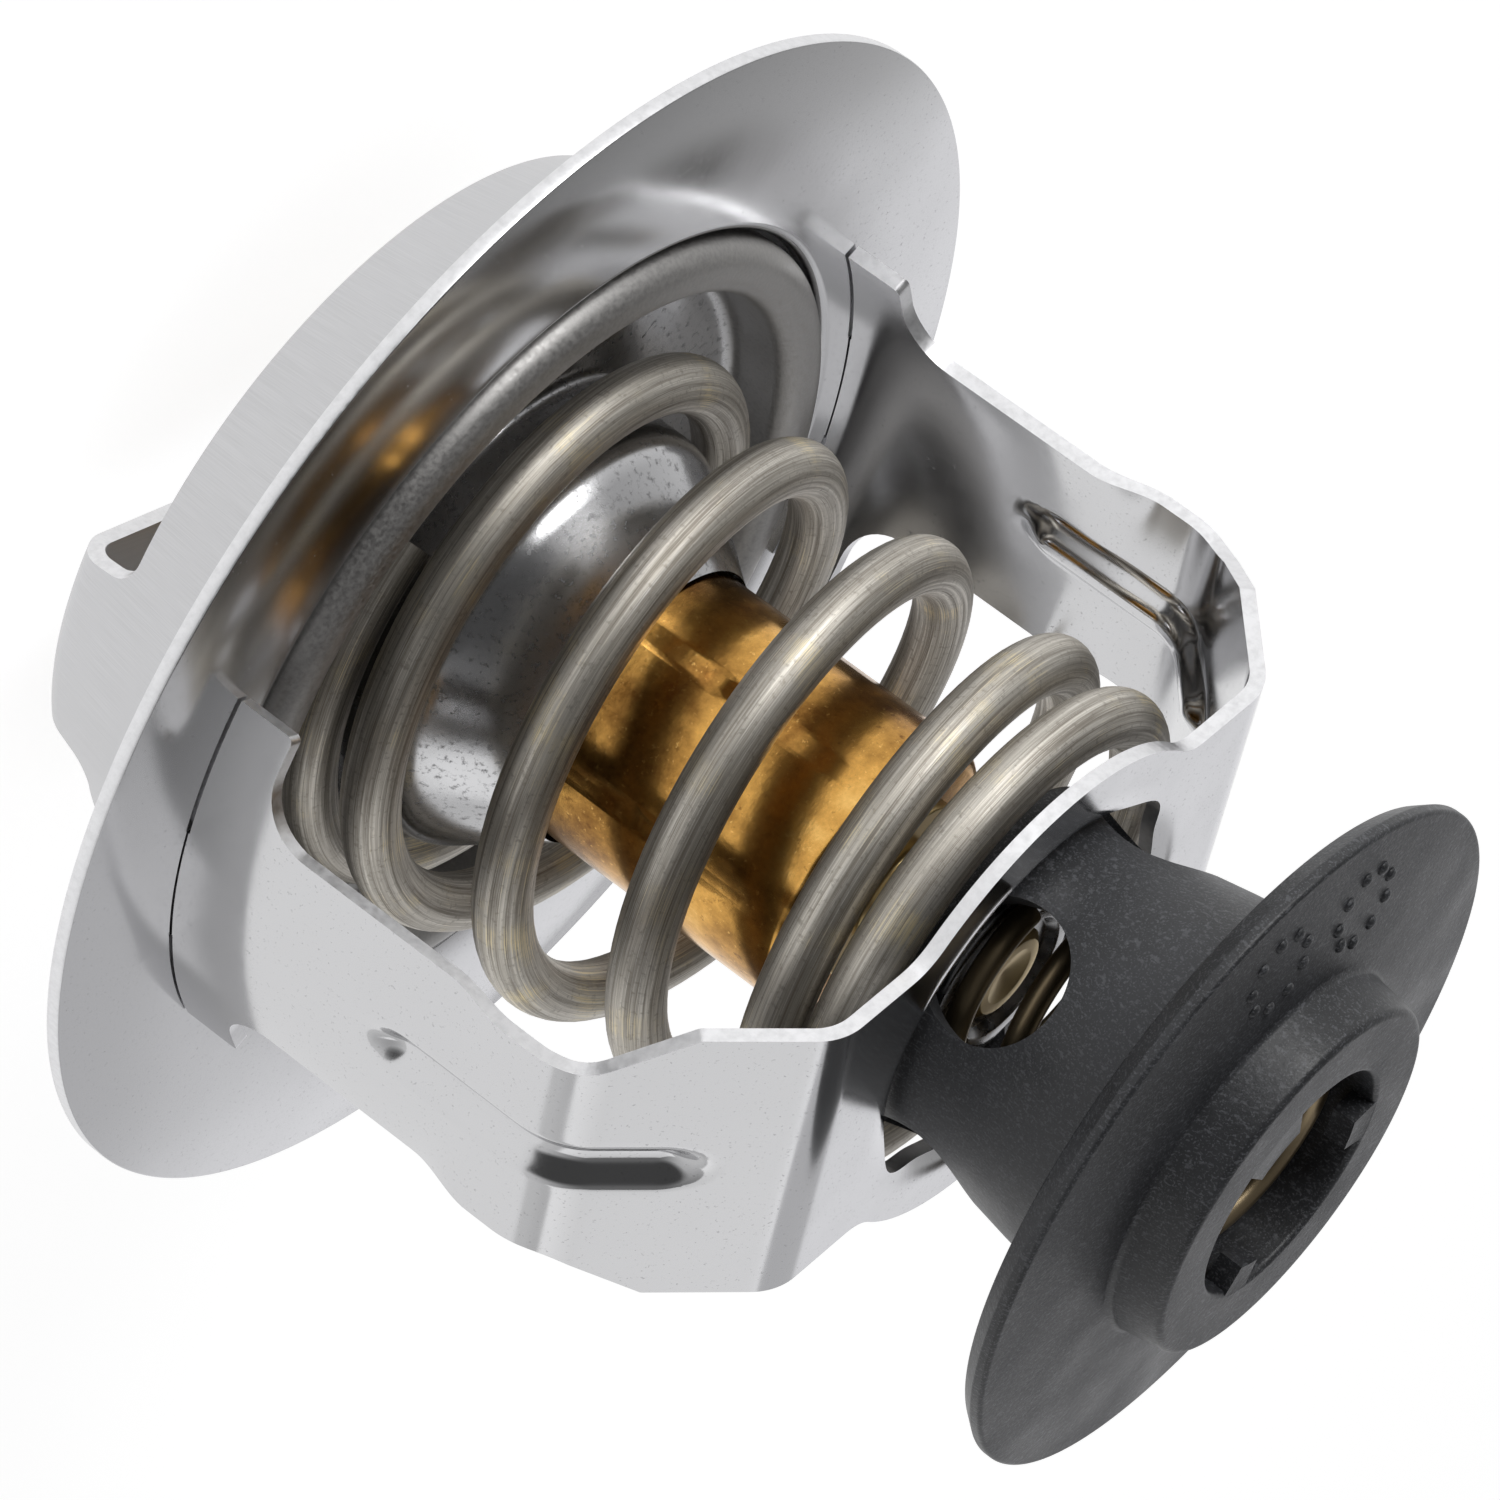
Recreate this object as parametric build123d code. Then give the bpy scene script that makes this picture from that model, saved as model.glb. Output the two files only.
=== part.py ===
from build123d import *

import os
from math import cos, degrees, hypot, pi, radians, sin, sqrt

# Engine thermostat with a bypass valve, in millimetres.
# Z is the thermostat's axis and points to the engine side, where the bypass valve is.
# The origin is the centre of the flange's engine-side face, and X runs through the frame's legs.

# Sheet and flange
sheet = 0.8
flange_radius = 33.5
seat_radius = 21.6
seat_width = 1.05
seat_bottom = -2.2
throat_depth = 1.2
throat_bend = 0.6
seat_edge_bend = 0.25
seat_bend = 0.5
hat_rim_narrowing = 1.7
hat_rim_z = -10.2
hat_rim_bend = 2.0

# Bridge over the hat, which holds the piston pin
bridge_turn = -5.0
bridge_shoulder_radius = 19.1
bridge_z = -13.5
bridge_bend = 1.5
bridge_half_width_foot = 6.2
bridge_half_width = 5.3
bridge_root_fillet = 1.7
bridge_edge_fillet = 0.5
bridge_edge_drop = 0.5
bridge_waist_half_width = 3.7
bridge_waist_inset = 1.3
bridge_waist_end_x = 10.0
bridge_waist_fillet = 8.0
bridge_waist_top_drop = 1.3

# Piston pin
pin_radius = 2.0
pin_inner_end_z = -1.0
pin_cup_depth = 2.2
pin_cup_bend = 0.6
pin_cup_end_bend = 0.3
pin_chamfer = 0.4
press_clearance = 0.02
running_clearance = 0.05

# Valve disc, one pressing from rolled rim to hub
valve_edge_gap = 0.35
rim_crest_z = 0.9
rim_bend = 1.35
pocket_seat_gap = 1.55
spring_floor_z = -3.4
hub_radius = 12.0
hub_shoulder_z = 2.0
hub_top_z = 7.6
hub_bend = 3.0
pocket_bend = 0.9
seat_clearance = 0.05

# Wax element
cup_radius = 7.75
cup_wall = 0.6
cup_end_z = 23.0
cup_end_bend = 1.0
cup_root_bend = 0.4
cup_flange_radius = 10.4
cup_flange_bend = 0.85
crimp_reach = 1.5
hub_clearance = 0.1
hub_edge_gap = 0.25
wax_edge_clearance = 0.1
dimple_count = 6
dimple_radius = 1.05
dimple_depth = 0.3
dimple_z = 12.7
dimple_start = -75.0
diaphragm_thickness = 0.6
guide_flange_thickness = 1.6
guide_nose_z = -12.4
guide_radius = 5.0
guide_nose_radius = 3.9
guide_taper_length = 3.5
funnel_radius = 4.6
funnel_depth = 1.6
backup_washer_thickness = 0.5
seal_outer_radius = 3.2
seal_depth = 1.4
seal_length = 1.4

# Stud on the element's end and the plate riveted to it
stud_flange_radius = 5.0
stud_flange_thickness = 0.8
stud_radius = 2.9
rivet_radius = 2.2
rivet_head_radius = 2.7
rivet_head_height = 0.4
rivet_rim_width = 0.6
plate_radius = 6.0
plate_thickness = 0.6
plate_ring_radius = 3.9
plate_ring_height = 0.55
plate_ring_width = 0.4

# Lower frame
foot_throat_gap = 2.25
foot_half_angle = 26.0
foot_height = 3.4
leg_half_width = 6.5
foot_fillet = 3.0
leg_flat_start_z = 15.5
leg_flat_z = 19.6
elbow_z = 23.4
elbow_bend = 4.0
arm_drop = 9.25
arm_corner_z = 27.4
arm_half_width = 9.3
arm_fillet = 3.5
flare_start_rise = 0.5
flare_end_fillet = 0.3
end_bend = 2.0
end_face_z = 31.9
end_radius = 13.7
end_fillet = 3.0
end_hole_radius = 10.1
end_lobe_reach = 11.3
end_lobe_radius = 3.0
end_lobe_angle = 40.0
tab_half_angle = 8.2
tab_reach = 1.4
slot_clearance = 0.1
rib_radius = 1.5
rib_height = 0.75
rib_start_z = 14.5
rib_end_drop = 5.6
groove_radius = 0.95

# Bypass valve
tube_radius = 9.3
tube_start_z = 28.2
collar_thickness = 1.7
collar_clearance = 0.1
plate_seat_clearance = 0.05
tube_bore = 7.0
tube_flare_radius = 10.2
tube_flare_z = 39.0
tube_straight_end_z = 34.0
window_count = 4
window_radius = 3.65
window_z = 33.1
window_start = -50.0
disc_root_radius = 10.7
disc_root_z = 42.9
disc_back_radius = 18.2
disc_back_z = 43.3
disc_radius = 18.9
disc_edge_z = 44.8
disc_edge_height = 0.6
disc_crown_z = 45.5
boss_base_radius = 10.35
boss_radius = 9.9
boss_front_z = 48.3
boss_chamfer = 0.4
recess_radius = 6.4
recess_start_z = 42.0
recess_cone_height = 1.0
lug_thickness = 1.3
lug_tip_radius = 4.9
lug_root_depth = 0.3
lug_angles = (-60.0, 68.0, 175.0)
lug_half_angles = (17.0, 9.0, 11.0)

# Springs
main_wire = 3.0
main_radius_valve = 14.6
main_radius_end = 13.2
main_closed_pitch = 3.1
main_closed_turns = 1.0
main_active_turns = 3
main_end_turns = 1.15
main_start_angle = -50.0
bypass_wire = 1.3
bypass_radius = 5.3
bypass_closed_pitch = 1.35
bypass_closed_turns = 1.0
bypass_active_turns = 4
bypass_start_angle = 20.0
spring_seat_clearance = 0.02
blend_turns = 0.3
points_per_turn = 12

# How far cuts run past what they cut, and what counts as touching
cut_margin = 1.0
tiny = 0.001


def strip(points, bends, thickness, side):
    """Section of bent sheet: one face as a filleted line, thickened to one side."""
    line = FilletPolyline(*points, radius=bends)
    return Face(Wire(line.edges()).offset_2d(thickness, side=side))


def turned(face):
    """Solid of revolution about Z from a section drawn as radius and height."""
    return revolve(Plane.XZ * face, Axis.Z, 360)


def ring_sector(inner, outer, bottom, top, half_angle):
    """Part of a ring about Z, centred on +X."""
    ring = Pos(0, 0, bottom) * extrude(Circle(outer) - Circle(inner), top - bottom)
    far_x = 3 * outer * cos(radians(half_angle))
    far_y = 3 * outer * sin(radians(half_angle))
    wedge = Polygon((0, 0), (far_x, -far_y), (far_x, far_y), align=None)
    return ring & (Pos(0, 0, bottom - cut_margin) * extrude(wedge, top - bottom + 2 * cut_margin))


def cylinder(radius, bottom, top):
    return Pos(0, 0, (bottom + top) / 2) * Cylinder(radius, top - bottom)


# Sizes that follow from the pieces that seat on each other
hat_rim_radius = seat_radius - hat_rim_narrowing
throat_radius = seat_radius + seat_width
valve_radius = throat_radius - valve_edge_gap
spring_pocket_radius = seat_radius - sheet - pocket_seat_gap
foot_inner_radius = throat_radius + foot_throat_gap
foot_outer_radius = foot_inner_radius + sheet
leg_outer_x = foot_outer_radius
hub_hole_radius = cup_radius + hub_clearance
hub_run = hub_radius - (cup_radius + hub_edge_gap)
hub_rise = hub_top_z - hub_shoulder_z
hub_slope = hypot(hub_run, hub_rise)
hub_normal_r = hub_rise / hub_slope
hub_normal_z = hub_run / hub_slope
# The cup's rounded flange edge bears on the inside of the hub's slope.
edge_reach_r = hub_radius - sheet * hub_normal_r - seat_clearance * hub_normal_r
edge_reach_z = hub_shoulder_z - sheet * hub_normal_z - seat_clearance * hub_normal_z
edge_centre_r = cup_flange_radius - cup_flange_bend
edge_level = edge_reach_r * hub_normal_r + edge_reach_z * hub_normal_z - cup_flange_bend
edge_centre_z = (edge_level - edge_centre_r * hub_normal_r) / hub_normal_z
cup_flange_z = edge_centre_z + cup_flange_bend
diaphragm_top_z = cup_flange_z - cup_wall
guide_top_z = diaphragm_top_z - diaphragm_thickness
guide_flange_z = guide_top_z - guide_flange_thickness
crimp_z = guide_flange_z - cup_wall
pin_outer_end_z = bridge_z - pin_cup_depth
plug_bottom_z = pin_inner_end_z + backup_washer_thickness
bore_radius = pin_radius + running_clearance
end_inner_z = end_face_z - sheet
plate_back_z = tube_start_z + collar_thickness + plate_seat_clearance
plate_front_z = plate_back_z + plate_thickness
lug_back_z = boss_front_z - lug_thickness


def flange_housing():
    """Flange, valve seat, drawn hat and bridge, stamped from one sheet."""
    section = [
        (flange_radius, 0),
        (throat_radius, 0),
        (throat_radius, -throat_depth),
        (seat_radius, seat_bottom),
        (hat_rim_radius, hat_rim_z),
        (bridge_shoulder_radius, bridge_z),
        (pin_radius + press_clearance, bridge_z),
        (pin_radius + press_clearance, pin_outer_end_z),
        (0, pin_outer_end_z),
    ]
    bends = [throat_bend, seat_edge_bend, seat_bend, hat_rim_bend]
    bends += [bridge_bend, pin_cup_bend, pin_cup_end_bend]
    body = turned(strip(section, bends, sheet, Side.LEFT))
    # Outside the bridge the crown is cut away, down to the hat's rim.
    low = pin_outer_end_z - sheet - cut_margin
    wide = 2 * flange_radius
    side_cut = FilletPolyline(
        (wide, hat_rim_z),
        (bridge_half_width_foot, hat_rim_z),
        (bridge_half_width, bridge_z - bridge_edge_drop),
        (bridge_half_width, low),
        radius=[bridge_root_fillet, bridge_edge_fillet],
    )
    rest = Polyline((bridge_half_width, low), (wide, low), (wide, hat_rim_z))
    window = extrude(Plane.YZ * Face(Wire(side_cut.edges() + rest.edges())), flange_radius, both=True)
    # The bridge is narrower between its shoulders.
    start_x = bridge_shoulder_radius - bridge_waist_inset
    waist_cut = FilletPolyline(
        (start_x, bridge_half_width),
        (bridge_waist_end_x, bridge_waist_half_width),
        (-bridge_waist_end_x, bridge_waist_half_width),
        (-start_x, bridge_half_width),
        radius=bridge_waist_fillet,
    )
    waist_rest = Polyline(
        (-start_x, bridge_half_width),
        (-start_x, wide),
        (start_x, wide),
        (start_x, bridge_half_width),
    )
    waist = Face(Wire(waist_cut.edges() + waist_rest.edges()))
    window += Pos(0, 0, low) * extrude(waist, hat_rim_z - bridge_waist_top_drop - low)
    body -= Rot(0, 0, bridge_turn) * window
    body -= Rot(0, 0, bridge_turn) * mirror(window, Plane.XZ)
    slot = ring_sector(
        foot_inner_radius - slot_clearance,
        foot_outer_radius + slot_clearance,
        -sheet - cut_margin,
        cut_margin,
        tab_half_angle + degrees(slot_clearance / foot_inner_radius),
    )
    for turn in (0, 180):
        body -= Rot(0, 0, turn) * slot
    return body


def piston_pin():
    """Fixed pin: pressed into the bridge's cup, it holds the element's piston end."""
    bottom = pin_outer_end_z + press_clearance
    body = cylinder(pin_radius, bottom, pin_inner_end_z)
    return chamfer(body.edges(), pin_chamfer)


def valve_disc():
    """Main valve: rolled rim, pocket for the spring and domed hub round the element."""
    seat_slope = (-seat_bottom - throat_depth) / (throat_radius - seat_radius)
    lip_z = -throat_depth - (throat_radius - valve_radius) * seat_slope
    beyond = 1.2
    section = [
        (valve_radius, lip_z + seat_clearance),
        (valve_radius, rim_crest_z),
        (spring_pocket_radius, rim_crest_z),
        (spring_pocket_radius, spring_floor_z),
        (hub_radius, spring_floor_z),
        (hub_radius, hub_shoulder_z),
        (hub_radius - hub_run * beyond, hub_shoulder_z + hub_rise * beyond),
    ]
    bends = [rim_bend, rim_bend, pocket_bend, pocket_bend, hub_bend]
    body = turned(strip(section, bends, sheet, Side.LEFT))
    body -= cylinder(hub_hole_radius, hub_shoulder_z, hub_top_z + hub_rise)
    return body & cylinder(2 * valve_radius, spring_floor_z - sheet - cut_margin, hub_top_z)


def element_cup():
    """Drawn cup of the wax element, with its flange crimped round the guide."""
    section = [
        (0, cup_end_z),
        (cup_radius, cup_end_z),
        (cup_radius, cup_flange_z),
        (cup_flange_radius, cup_flange_z),
        (cup_flange_radius, crimp_z),
        (cup_flange_radius - crimp_reach, crimp_z),
    ]
    bends = [cup_end_bend, cup_root_bend, cup_flange_bend, cup_flange_bend]
    body = turned(strip(section, bends, cup_wall, Side.RIGHT))
    # Round stake marks in a ring about the cup.
    for index in range(dimple_count):
        mark = Pos(cup_radius - dimple_depth + dimple_radius, 0, dimple_z) * Sphere(dimple_radius)
        body -= Rot(0, 0, dimple_start + index * 360 / dimple_count) * mark
    return body


def wax_charge():
    """Expansion wax that fills the cup above the diaphragm."""
    radius = cup_radius - cup_wall - press_clearance
    body = cylinder(radius, diaphragm_top_z, cup_end_z - cup_wall - press_clearance)
    return fillet(body.edges().group_by(Axis.Z)[-1], cup_end_bend - cup_wall + wax_edge_clearance)


def diaphragm():
    """Rubber diaphragm, clamped between the cup's flange and the guide."""
    radius = cup_flange_radius - cup_flange_bend - press_clearance
    return cylinder(radius, guide_top_z, diaphragm_top_z)


def element_guide():
    """Turned guide with a funnel for the rubber plug and a bore for the pin."""
    inner = cup_flange_radius - cup_flange_bend - press_clearance
    section = Polygon(
        (bore_radius, guide_nose_z),
        (guide_nose_radius, guide_nose_z),
        (guide_radius, guide_nose_z + guide_taper_length),
        (guide_radius, guide_flange_z),
        (inner, guide_flange_z),
        (inner, guide_top_z),
        (funnel_radius, guide_top_z),
        (bore_radius, guide_top_z - funnel_depth),
        align=None,
    )
    body = turned(section)
    seal_top = guide_nose_z + seal_depth + seal_length
    return body - cylinder(seal_outer_radius + press_clearance, guide_nose_z + seal_depth, seal_top)


def rubber_plug():
    """Rubber plug that turns the diaphragm's movement into the pin's stroke."""
    inner = bore_radius - press_clearance
    section = Polygon(
        (0, plug_bottom_z),
        (inner, plug_bottom_z),
        (inner, guide_top_z - funnel_depth),
        (funnel_radius - press_clearance, guide_top_z),
        (0, guide_top_z),
        align=None,
    )
    return turned(section)


def backup_washer():
    """Hard disc between the rubber plug and the end of the pin."""
    return cylinder(bore_radius - press_clearance, pin_inner_end_z, plug_bottom_z)


def guide_seal():
    """Rubber ring round the pin, in its groove inside the guide's nose."""
    bottom = guide_nose_z + seal_depth
    ring = cylinder(seal_outer_radius, bottom + press_clearance, bottom + seal_length - press_clearance)
    return ring - cylinder(bore_radius, bottom - cut_margin, bottom + seal_length + cut_margin)


def element_stud():
    """Stud on the cup's end: flange, neck and riveted head."""
    head_z = plate_front_z + rivet_head_height
    section = Polygon(
        (0, cup_end_z),
        (stud_flange_radius, cup_end_z),
        (stud_flange_radius, cup_end_z + stud_flange_thickness),
        (stud_radius, cup_end_z + stud_flange_thickness),
        (stud_radius, plate_back_z),
        (rivet_radius, plate_back_z),
        (rivet_radius, plate_front_z),
        (rivet_head_radius, plate_front_z),
        (rivet_radius, head_z),
        (rivet_radius - rivet_rim_width, head_z),
        (0, plate_front_z),
        align=None,
    )
    return turned(section)


def spring_plate():
    """Plate on the stud that carries the bypass spring and stops the bypass valve."""
    half = plate_ring_width / 2
    section = Polygon(
        (rivet_radius + press_clearance, plate_back_z),
        (plate_radius, plate_back_z),
        (plate_radius, plate_front_z),
        (plate_ring_radius + 2 * half, plate_front_z),
        (plate_ring_radius + half, plate_front_z + plate_ring_height),
        (plate_ring_radius - half, plate_front_z + plate_ring_height),
        (plate_ring_radius - 2 * half, plate_front_z),
        (rivet_radius + press_clearance, plate_front_z),
        align=None,
    )
    return turned(section)


def frame_side():
    """Section of the frame's leg, elbow, sloping arm and end face, along its outer face."""
    corner_x = leg_outer_x - arm_drop
    points = [(leg_outer_x, leg_flat_z), (leg_outer_x, elbow_z), (corner_x, end_face_z), (0, end_face_z)]
    return points, [elbow_bend, end_bend]


def lower_frame():
    """Stamped frame: feet on the flange, two legs and the end face that holds the main spring."""
    points, bends = frame_side()
    wide = 3 * foot_outer_radius
    # Foot and the round part of the leg, cut to the leg's outline.
    band = ring_sector(foot_inner_radius, foot_outer_radius, 0, leg_flat_start_z, foot_half_angle)
    side = FilletPolyline(
        (foot_outer_radius, foot_height),
        (leg_half_width, foot_height),
        (leg_half_width, leg_flat_start_z + cut_margin),
        radius=foot_fillet,
    )
    top = leg_flat_start_z + cut_margin
    rest = Polyline((leg_half_width, top), (foot_outer_radius, top), (foot_outer_radius, foot_height))
    notch = Plane.YZ * Face(Wire(side.edges() + rest.edges()))
    cut = extrude(notch, wide, both=True)
    band = band - cut - mirror(cut, Plane.XZ)
    # The leg turns from round to flat below the elbow.
    half = leg_half_width
    outer_x = sqrt(foot_outer_radius**2 - half**2)
    inner_x = sqrt(foot_inner_radius**2 - half**2)
    round_section = make_face(
        [
            ThreePointArc((outer_x, -half), (foot_outer_radius, 0), (outer_x, half)),
            Line((outer_x, half), (inner_x, half)),
            ThreePointArc((inner_x, half), (foot_inner_radius, 0), (inner_x, -half)),
            Line((inner_x, -half), (outer_x, -half)),
        ]
    )
    flat_section = Pos(leg_outer_x - sheet / 2, 0, leg_flat_z) * Rectangle(sheet, 2 * half)
    turn = loft([Pos(0, 0, leg_flat_start_z) * round_section, flat_section], ruled=True)
    # Elbow, arm and half of the end face, as wide as the arm.
    bent = extrude(Plane.XZ * strip(points, bends, sheet, Side.LEFT), arm_half_width, both=True)
    below = leg_flat_z - cut_margin
    above = end_face_z + cut_margin
    flare = FilletPolyline(
        (leg_half_width, below),
        (leg_half_width, elbow_z + flare_start_rise),
        (arm_half_width, arm_corner_z),
        (arm_half_width, above),
        radius=[arm_fillet, flare_end_fillet],
    )
    flare_rest = Polyline((arm_half_width, above), (wide, above), (wide, below), (leg_half_width, below))
    trim = extrude(Plane.YZ * Face(Wire(flare.edges() + flare_rest.edges())), wide, both=True)
    bent = bent - trim - mirror(trim, Plane.XZ)
    # Tab through the flange's slot, bent outwards behind it.
    tab = ring_sector(foot_inner_radius, foot_outer_radius, -2 * sheet, 0, tab_half_angle)
    tab += ring_sector(foot_inner_radius, foot_outer_radius + tab_reach, -2 * sheet, -sheet, tab_half_angle)
    # Stiffening rib: pressed in from outside along the leg and the arm.
    leg = ribbed(band + turn + bent + tab)
    body = leg + Rot(0, 0, 180) * leg
    body += Pos(0, 0, end_inner_z) * extrude(end_outline(), sheet)
    # The hole in the end face has two shallow lobes.
    hole = Circle(end_hole_radius)
    for turn in (end_lobe_angle, end_lobe_angle + 180):
        hole += Rot(0, 0, turn) * Pos(end_lobe_reach - end_lobe_radius, 0) * Circle(end_lobe_radius)
    return body - Pos(0, 0, end_inner_z - cut_margin) * extrude(hole, sheet + 2 * cut_margin)


def end_outline():
    """Round end face with a fillet on each side of both arms."""
    outline = Circle(end_radius) + Rectangle(2 * end_radius, 2 * arm_half_width)
    notches = outline.vertices().filter_by(lambda v: abs(hypot(v.X, v.Y) - end_radius) < tiny)
    return fillet(notches, end_fillet)


def ribbed(leg):
    """Adds the raised rib inside the leg and cuts its groove outside."""
    slope = Vector(-arm_drop, 0, end_face_z - elbow_z).normalized()
    start = Vector(leg_outer_x, 0, rib_start_z)
    corner = Vector(leg_outer_x, 0, elbow_z)
    finish = corner + slope * rib_end_drop
    path = Wire(FilletPolyline(start, corner, finish, radius=elbow_bend).edges())
    inward = rib_height + sheet - rib_radius
    shift = Vector(-inward, 0, 0)
    inner_path = path.moved(Location(shift))
    rib = sweep(Plane(origin=start + shift, z_dir=(0, 0, 1)) * Circle(rib_radius), inner_path)
    rib += Pos(start + shift) * Sphere(rib_radius)
    rib += Pos(finish + shift) * Sphere(rib_radius)
    # Only the part of the rib inside the middle of the sheet is kept.
    middle_x = leg_outer_x - sheet / 2
    inside = Polygon(
        (0, 0),
        (middle_x, 0),
        (middle_x, elbow_z),
        (middle_x - arm_drop, end_face_z),
        (0, end_face_z),
        align=None,
    )
    rib &= extrude(Plane.XZ * inside, rib_radius * 2, both=True)
    groove = sweep(Plane(origin=start, z_dir=(0, 0, 1)) * Circle(groove_radius), path)
    groove += Pos(start) * Sphere(groove_radius)
    groove += Pos(finish) * Sphere(groove_radius)
    return leg + rib - groove


def coil(start_z, end_z, radii, wire, closed_pitch, closed_turns, active, end_turns, angle):
    """Coil spring with closed ends: its wire's centre line is a helix whose pitch opens and closes again."""
    travel = end_z - start_z
    turns = closed_turns + active + end_turns
    open_pitch = (travel - closed_pitch * turns) / active

    def ramp(turn):
        if turn <= -blend_turns / 2:
            return 0.0
        if turn >= blend_turns / 2:
            return turn
        return (turn + blend_turns / 2) ** 2 / (2 * blend_turns)

    points = []
    steps = round(turns * points_per_turn)
    for step in range(steps + 1):
        turn = turns * step / steps
        opened = ramp(turn - closed_turns) - ramp(turn - closed_turns - active)
        z = start_z + closed_pitch * turn + open_pitch * opened
        radius = radii[0] + (radii[1] - radii[0]) * turn / turns
        around = radians(angle) + 2 * pi * turn
        points.append((radius * cos(around), radius * sin(around), z))
    path = Spline(*points)
    return sweep(Plane(origin=path @ 0, z_dir=path % 0) * Circle(wire / 2), path)


def main_spring():
    """Main spring between the valve disc's pocket and the frame's end face."""
    gap = main_wire / 2 + spring_seat_clearance
    return coil(
        spring_floor_z + gap,
        end_inner_z - gap,
        (main_radius_valve, main_radius_end),
        main_wire,
        main_closed_pitch,
        main_closed_turns,
        main_active_turns,
        main_end_turns,
        main_start_angle,
    )


def bypass_spring():
    """Bypass spring between the stud's plate and the lugs inside the bypass valve."""
    gap = bypass_wire / 2 + spring_seat_clearance
    return coil(
        plate_front_z + gap,
        lug_back_z - gap,
        (bypass_radius, bypass_radius),
        bypass_wire,
        bypass_closed_pitch,
        bypass_closed_turns,
        bypass_active_turns,
        bypass_closed_turns,
        bypass_start_angle,
    )


def bypass_valve():
    """Moulded bypass valve: windowed tube, sealing disc and boss with inward lugs."""
    collar_end = tube_start_z + collar_thickness
    flare = Spline(
        (tube_radius, tube_straight_end_z),
        (tube_flare_radius, tube_flare_z),
        (disc_root_radius, disc_root_z),
        tangents=[(0, 1), (0.3, 1)],
    )
    outline = [
        Line((stud_radius + collar_clearance, tube_start_z), (tube_radius, tube_start_z)),
        Line((tube_radius, tube_start_z), (tube_radius, tube_straight_end_z)),
        flare,
        Polyline(
            (disc_root_radius, disc_root_z),
            (disc_back_radius, disc_back_z),
            (disc_radius, disc_edge_z - disc_edge_height),
            (disc_radius, disc_edge_z),
            (boss_base_radius, disc_crown_z),
            (boss_radius, boss_front_z - boss_chamfer),
            (boss_radius - boss_chamfer, boss_front_z),
            (recess_radius, boss_front_z),
            (recess_radius, recess_start_z),
            (tube_bore, recess_start_z - recess_cone_height),
            (tube_bore, collar_end),
            (stud_radius + collar_clearance, collar_end),
            (stud_radius + collar_clearance, tube_start_z),
        ),
    ]
    body = turned(make_face(outline))
    for index in range(window_count):
        hole = Pos(tube_radius, 0, window_z) * Rot(0, 90, 0) * Cylinder(window_radius, tube_radius)
        body -= Rot(0, 0, window_start + index * 360 / window_count) * hole
    for angle, half_angle in zip(lug_angles, lug_half_angles):
        lug_root = recess_radius + lug_root_depth
        lug = ring_sector(lug_tip_radius, lug_root, lug_back_z, boss_front_z, half_angle)
        body += Rot(0, 0, angle) * lug
    return body


def main():
    pieces = {
        "flange_housing": flange_housing,
        "piston_pin": piston_pin,
        "lower_frame": lower_frame,
        "valve_disc": valve_disc,
        "element_cup": element_cup,
        "wax_charge": wax_charge,
        "diaphragm": diaphragm,
        "element_guide": element_guide,
        "rubber_plug": rubber_plug,
        "backup_washer": backup_washer,
        "guide_seal": guide_seal,
        "element_stud": element_stud,
        "spring_plate": spring_plate,
        "main_spring": main_spring,
        "bypass_valve": bypass_valve,
        "bypass_spring": bypass_spring,
    }
    os.makedirs("parts", exist_ok=True)
    for name, build in pieces.items():
        export_step(build(), f"parts/{name}.step")


main()
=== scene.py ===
import math

import bpy
from bpy.props import FloatProperty, FloatVectorProperty, IntProperty, PointerProperty
from bpy.types import Operator, Panel, PropertyGroup
from mathutils import Matrix, Vector


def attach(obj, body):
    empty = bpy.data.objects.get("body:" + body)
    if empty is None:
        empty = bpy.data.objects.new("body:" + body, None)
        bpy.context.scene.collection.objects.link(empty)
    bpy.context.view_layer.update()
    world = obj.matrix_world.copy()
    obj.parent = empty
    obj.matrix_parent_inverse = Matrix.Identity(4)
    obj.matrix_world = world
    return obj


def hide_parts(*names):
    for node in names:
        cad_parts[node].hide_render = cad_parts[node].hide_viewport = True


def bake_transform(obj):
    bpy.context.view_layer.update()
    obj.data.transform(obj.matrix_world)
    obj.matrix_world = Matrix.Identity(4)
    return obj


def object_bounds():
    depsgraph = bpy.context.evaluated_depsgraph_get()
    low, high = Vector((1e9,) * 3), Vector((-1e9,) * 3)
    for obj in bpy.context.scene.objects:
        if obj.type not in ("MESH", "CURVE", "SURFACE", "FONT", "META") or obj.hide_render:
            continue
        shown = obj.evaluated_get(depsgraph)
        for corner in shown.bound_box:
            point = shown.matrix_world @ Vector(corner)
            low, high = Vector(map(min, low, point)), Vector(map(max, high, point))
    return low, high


bl_info = {
    "name": "Engine thermostat",
    "version": (1, 0, 0),
    "blender": (4, 5, 0),
    "location": "View3D > Sidebar > Thermostat",
    "description": "Builds the pieces, finishes and studio of an engine thermostat",
    "category": "Object",
}

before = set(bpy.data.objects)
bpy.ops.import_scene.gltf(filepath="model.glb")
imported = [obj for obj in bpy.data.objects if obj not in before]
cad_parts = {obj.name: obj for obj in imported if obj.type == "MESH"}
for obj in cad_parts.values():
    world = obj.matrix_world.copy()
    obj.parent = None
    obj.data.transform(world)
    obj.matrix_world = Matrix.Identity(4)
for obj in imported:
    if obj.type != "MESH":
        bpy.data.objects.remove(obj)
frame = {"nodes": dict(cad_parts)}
CAD_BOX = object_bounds()

MM = 0.001
TAU = 2 * math.pi
# Points nearer than this are welded.
WELD = 0.002 * MM
# Steps around a large turned piece, and the angle between two points of an arc.
FINE = 256
ARC_STEP = math.radians(9)
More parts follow.
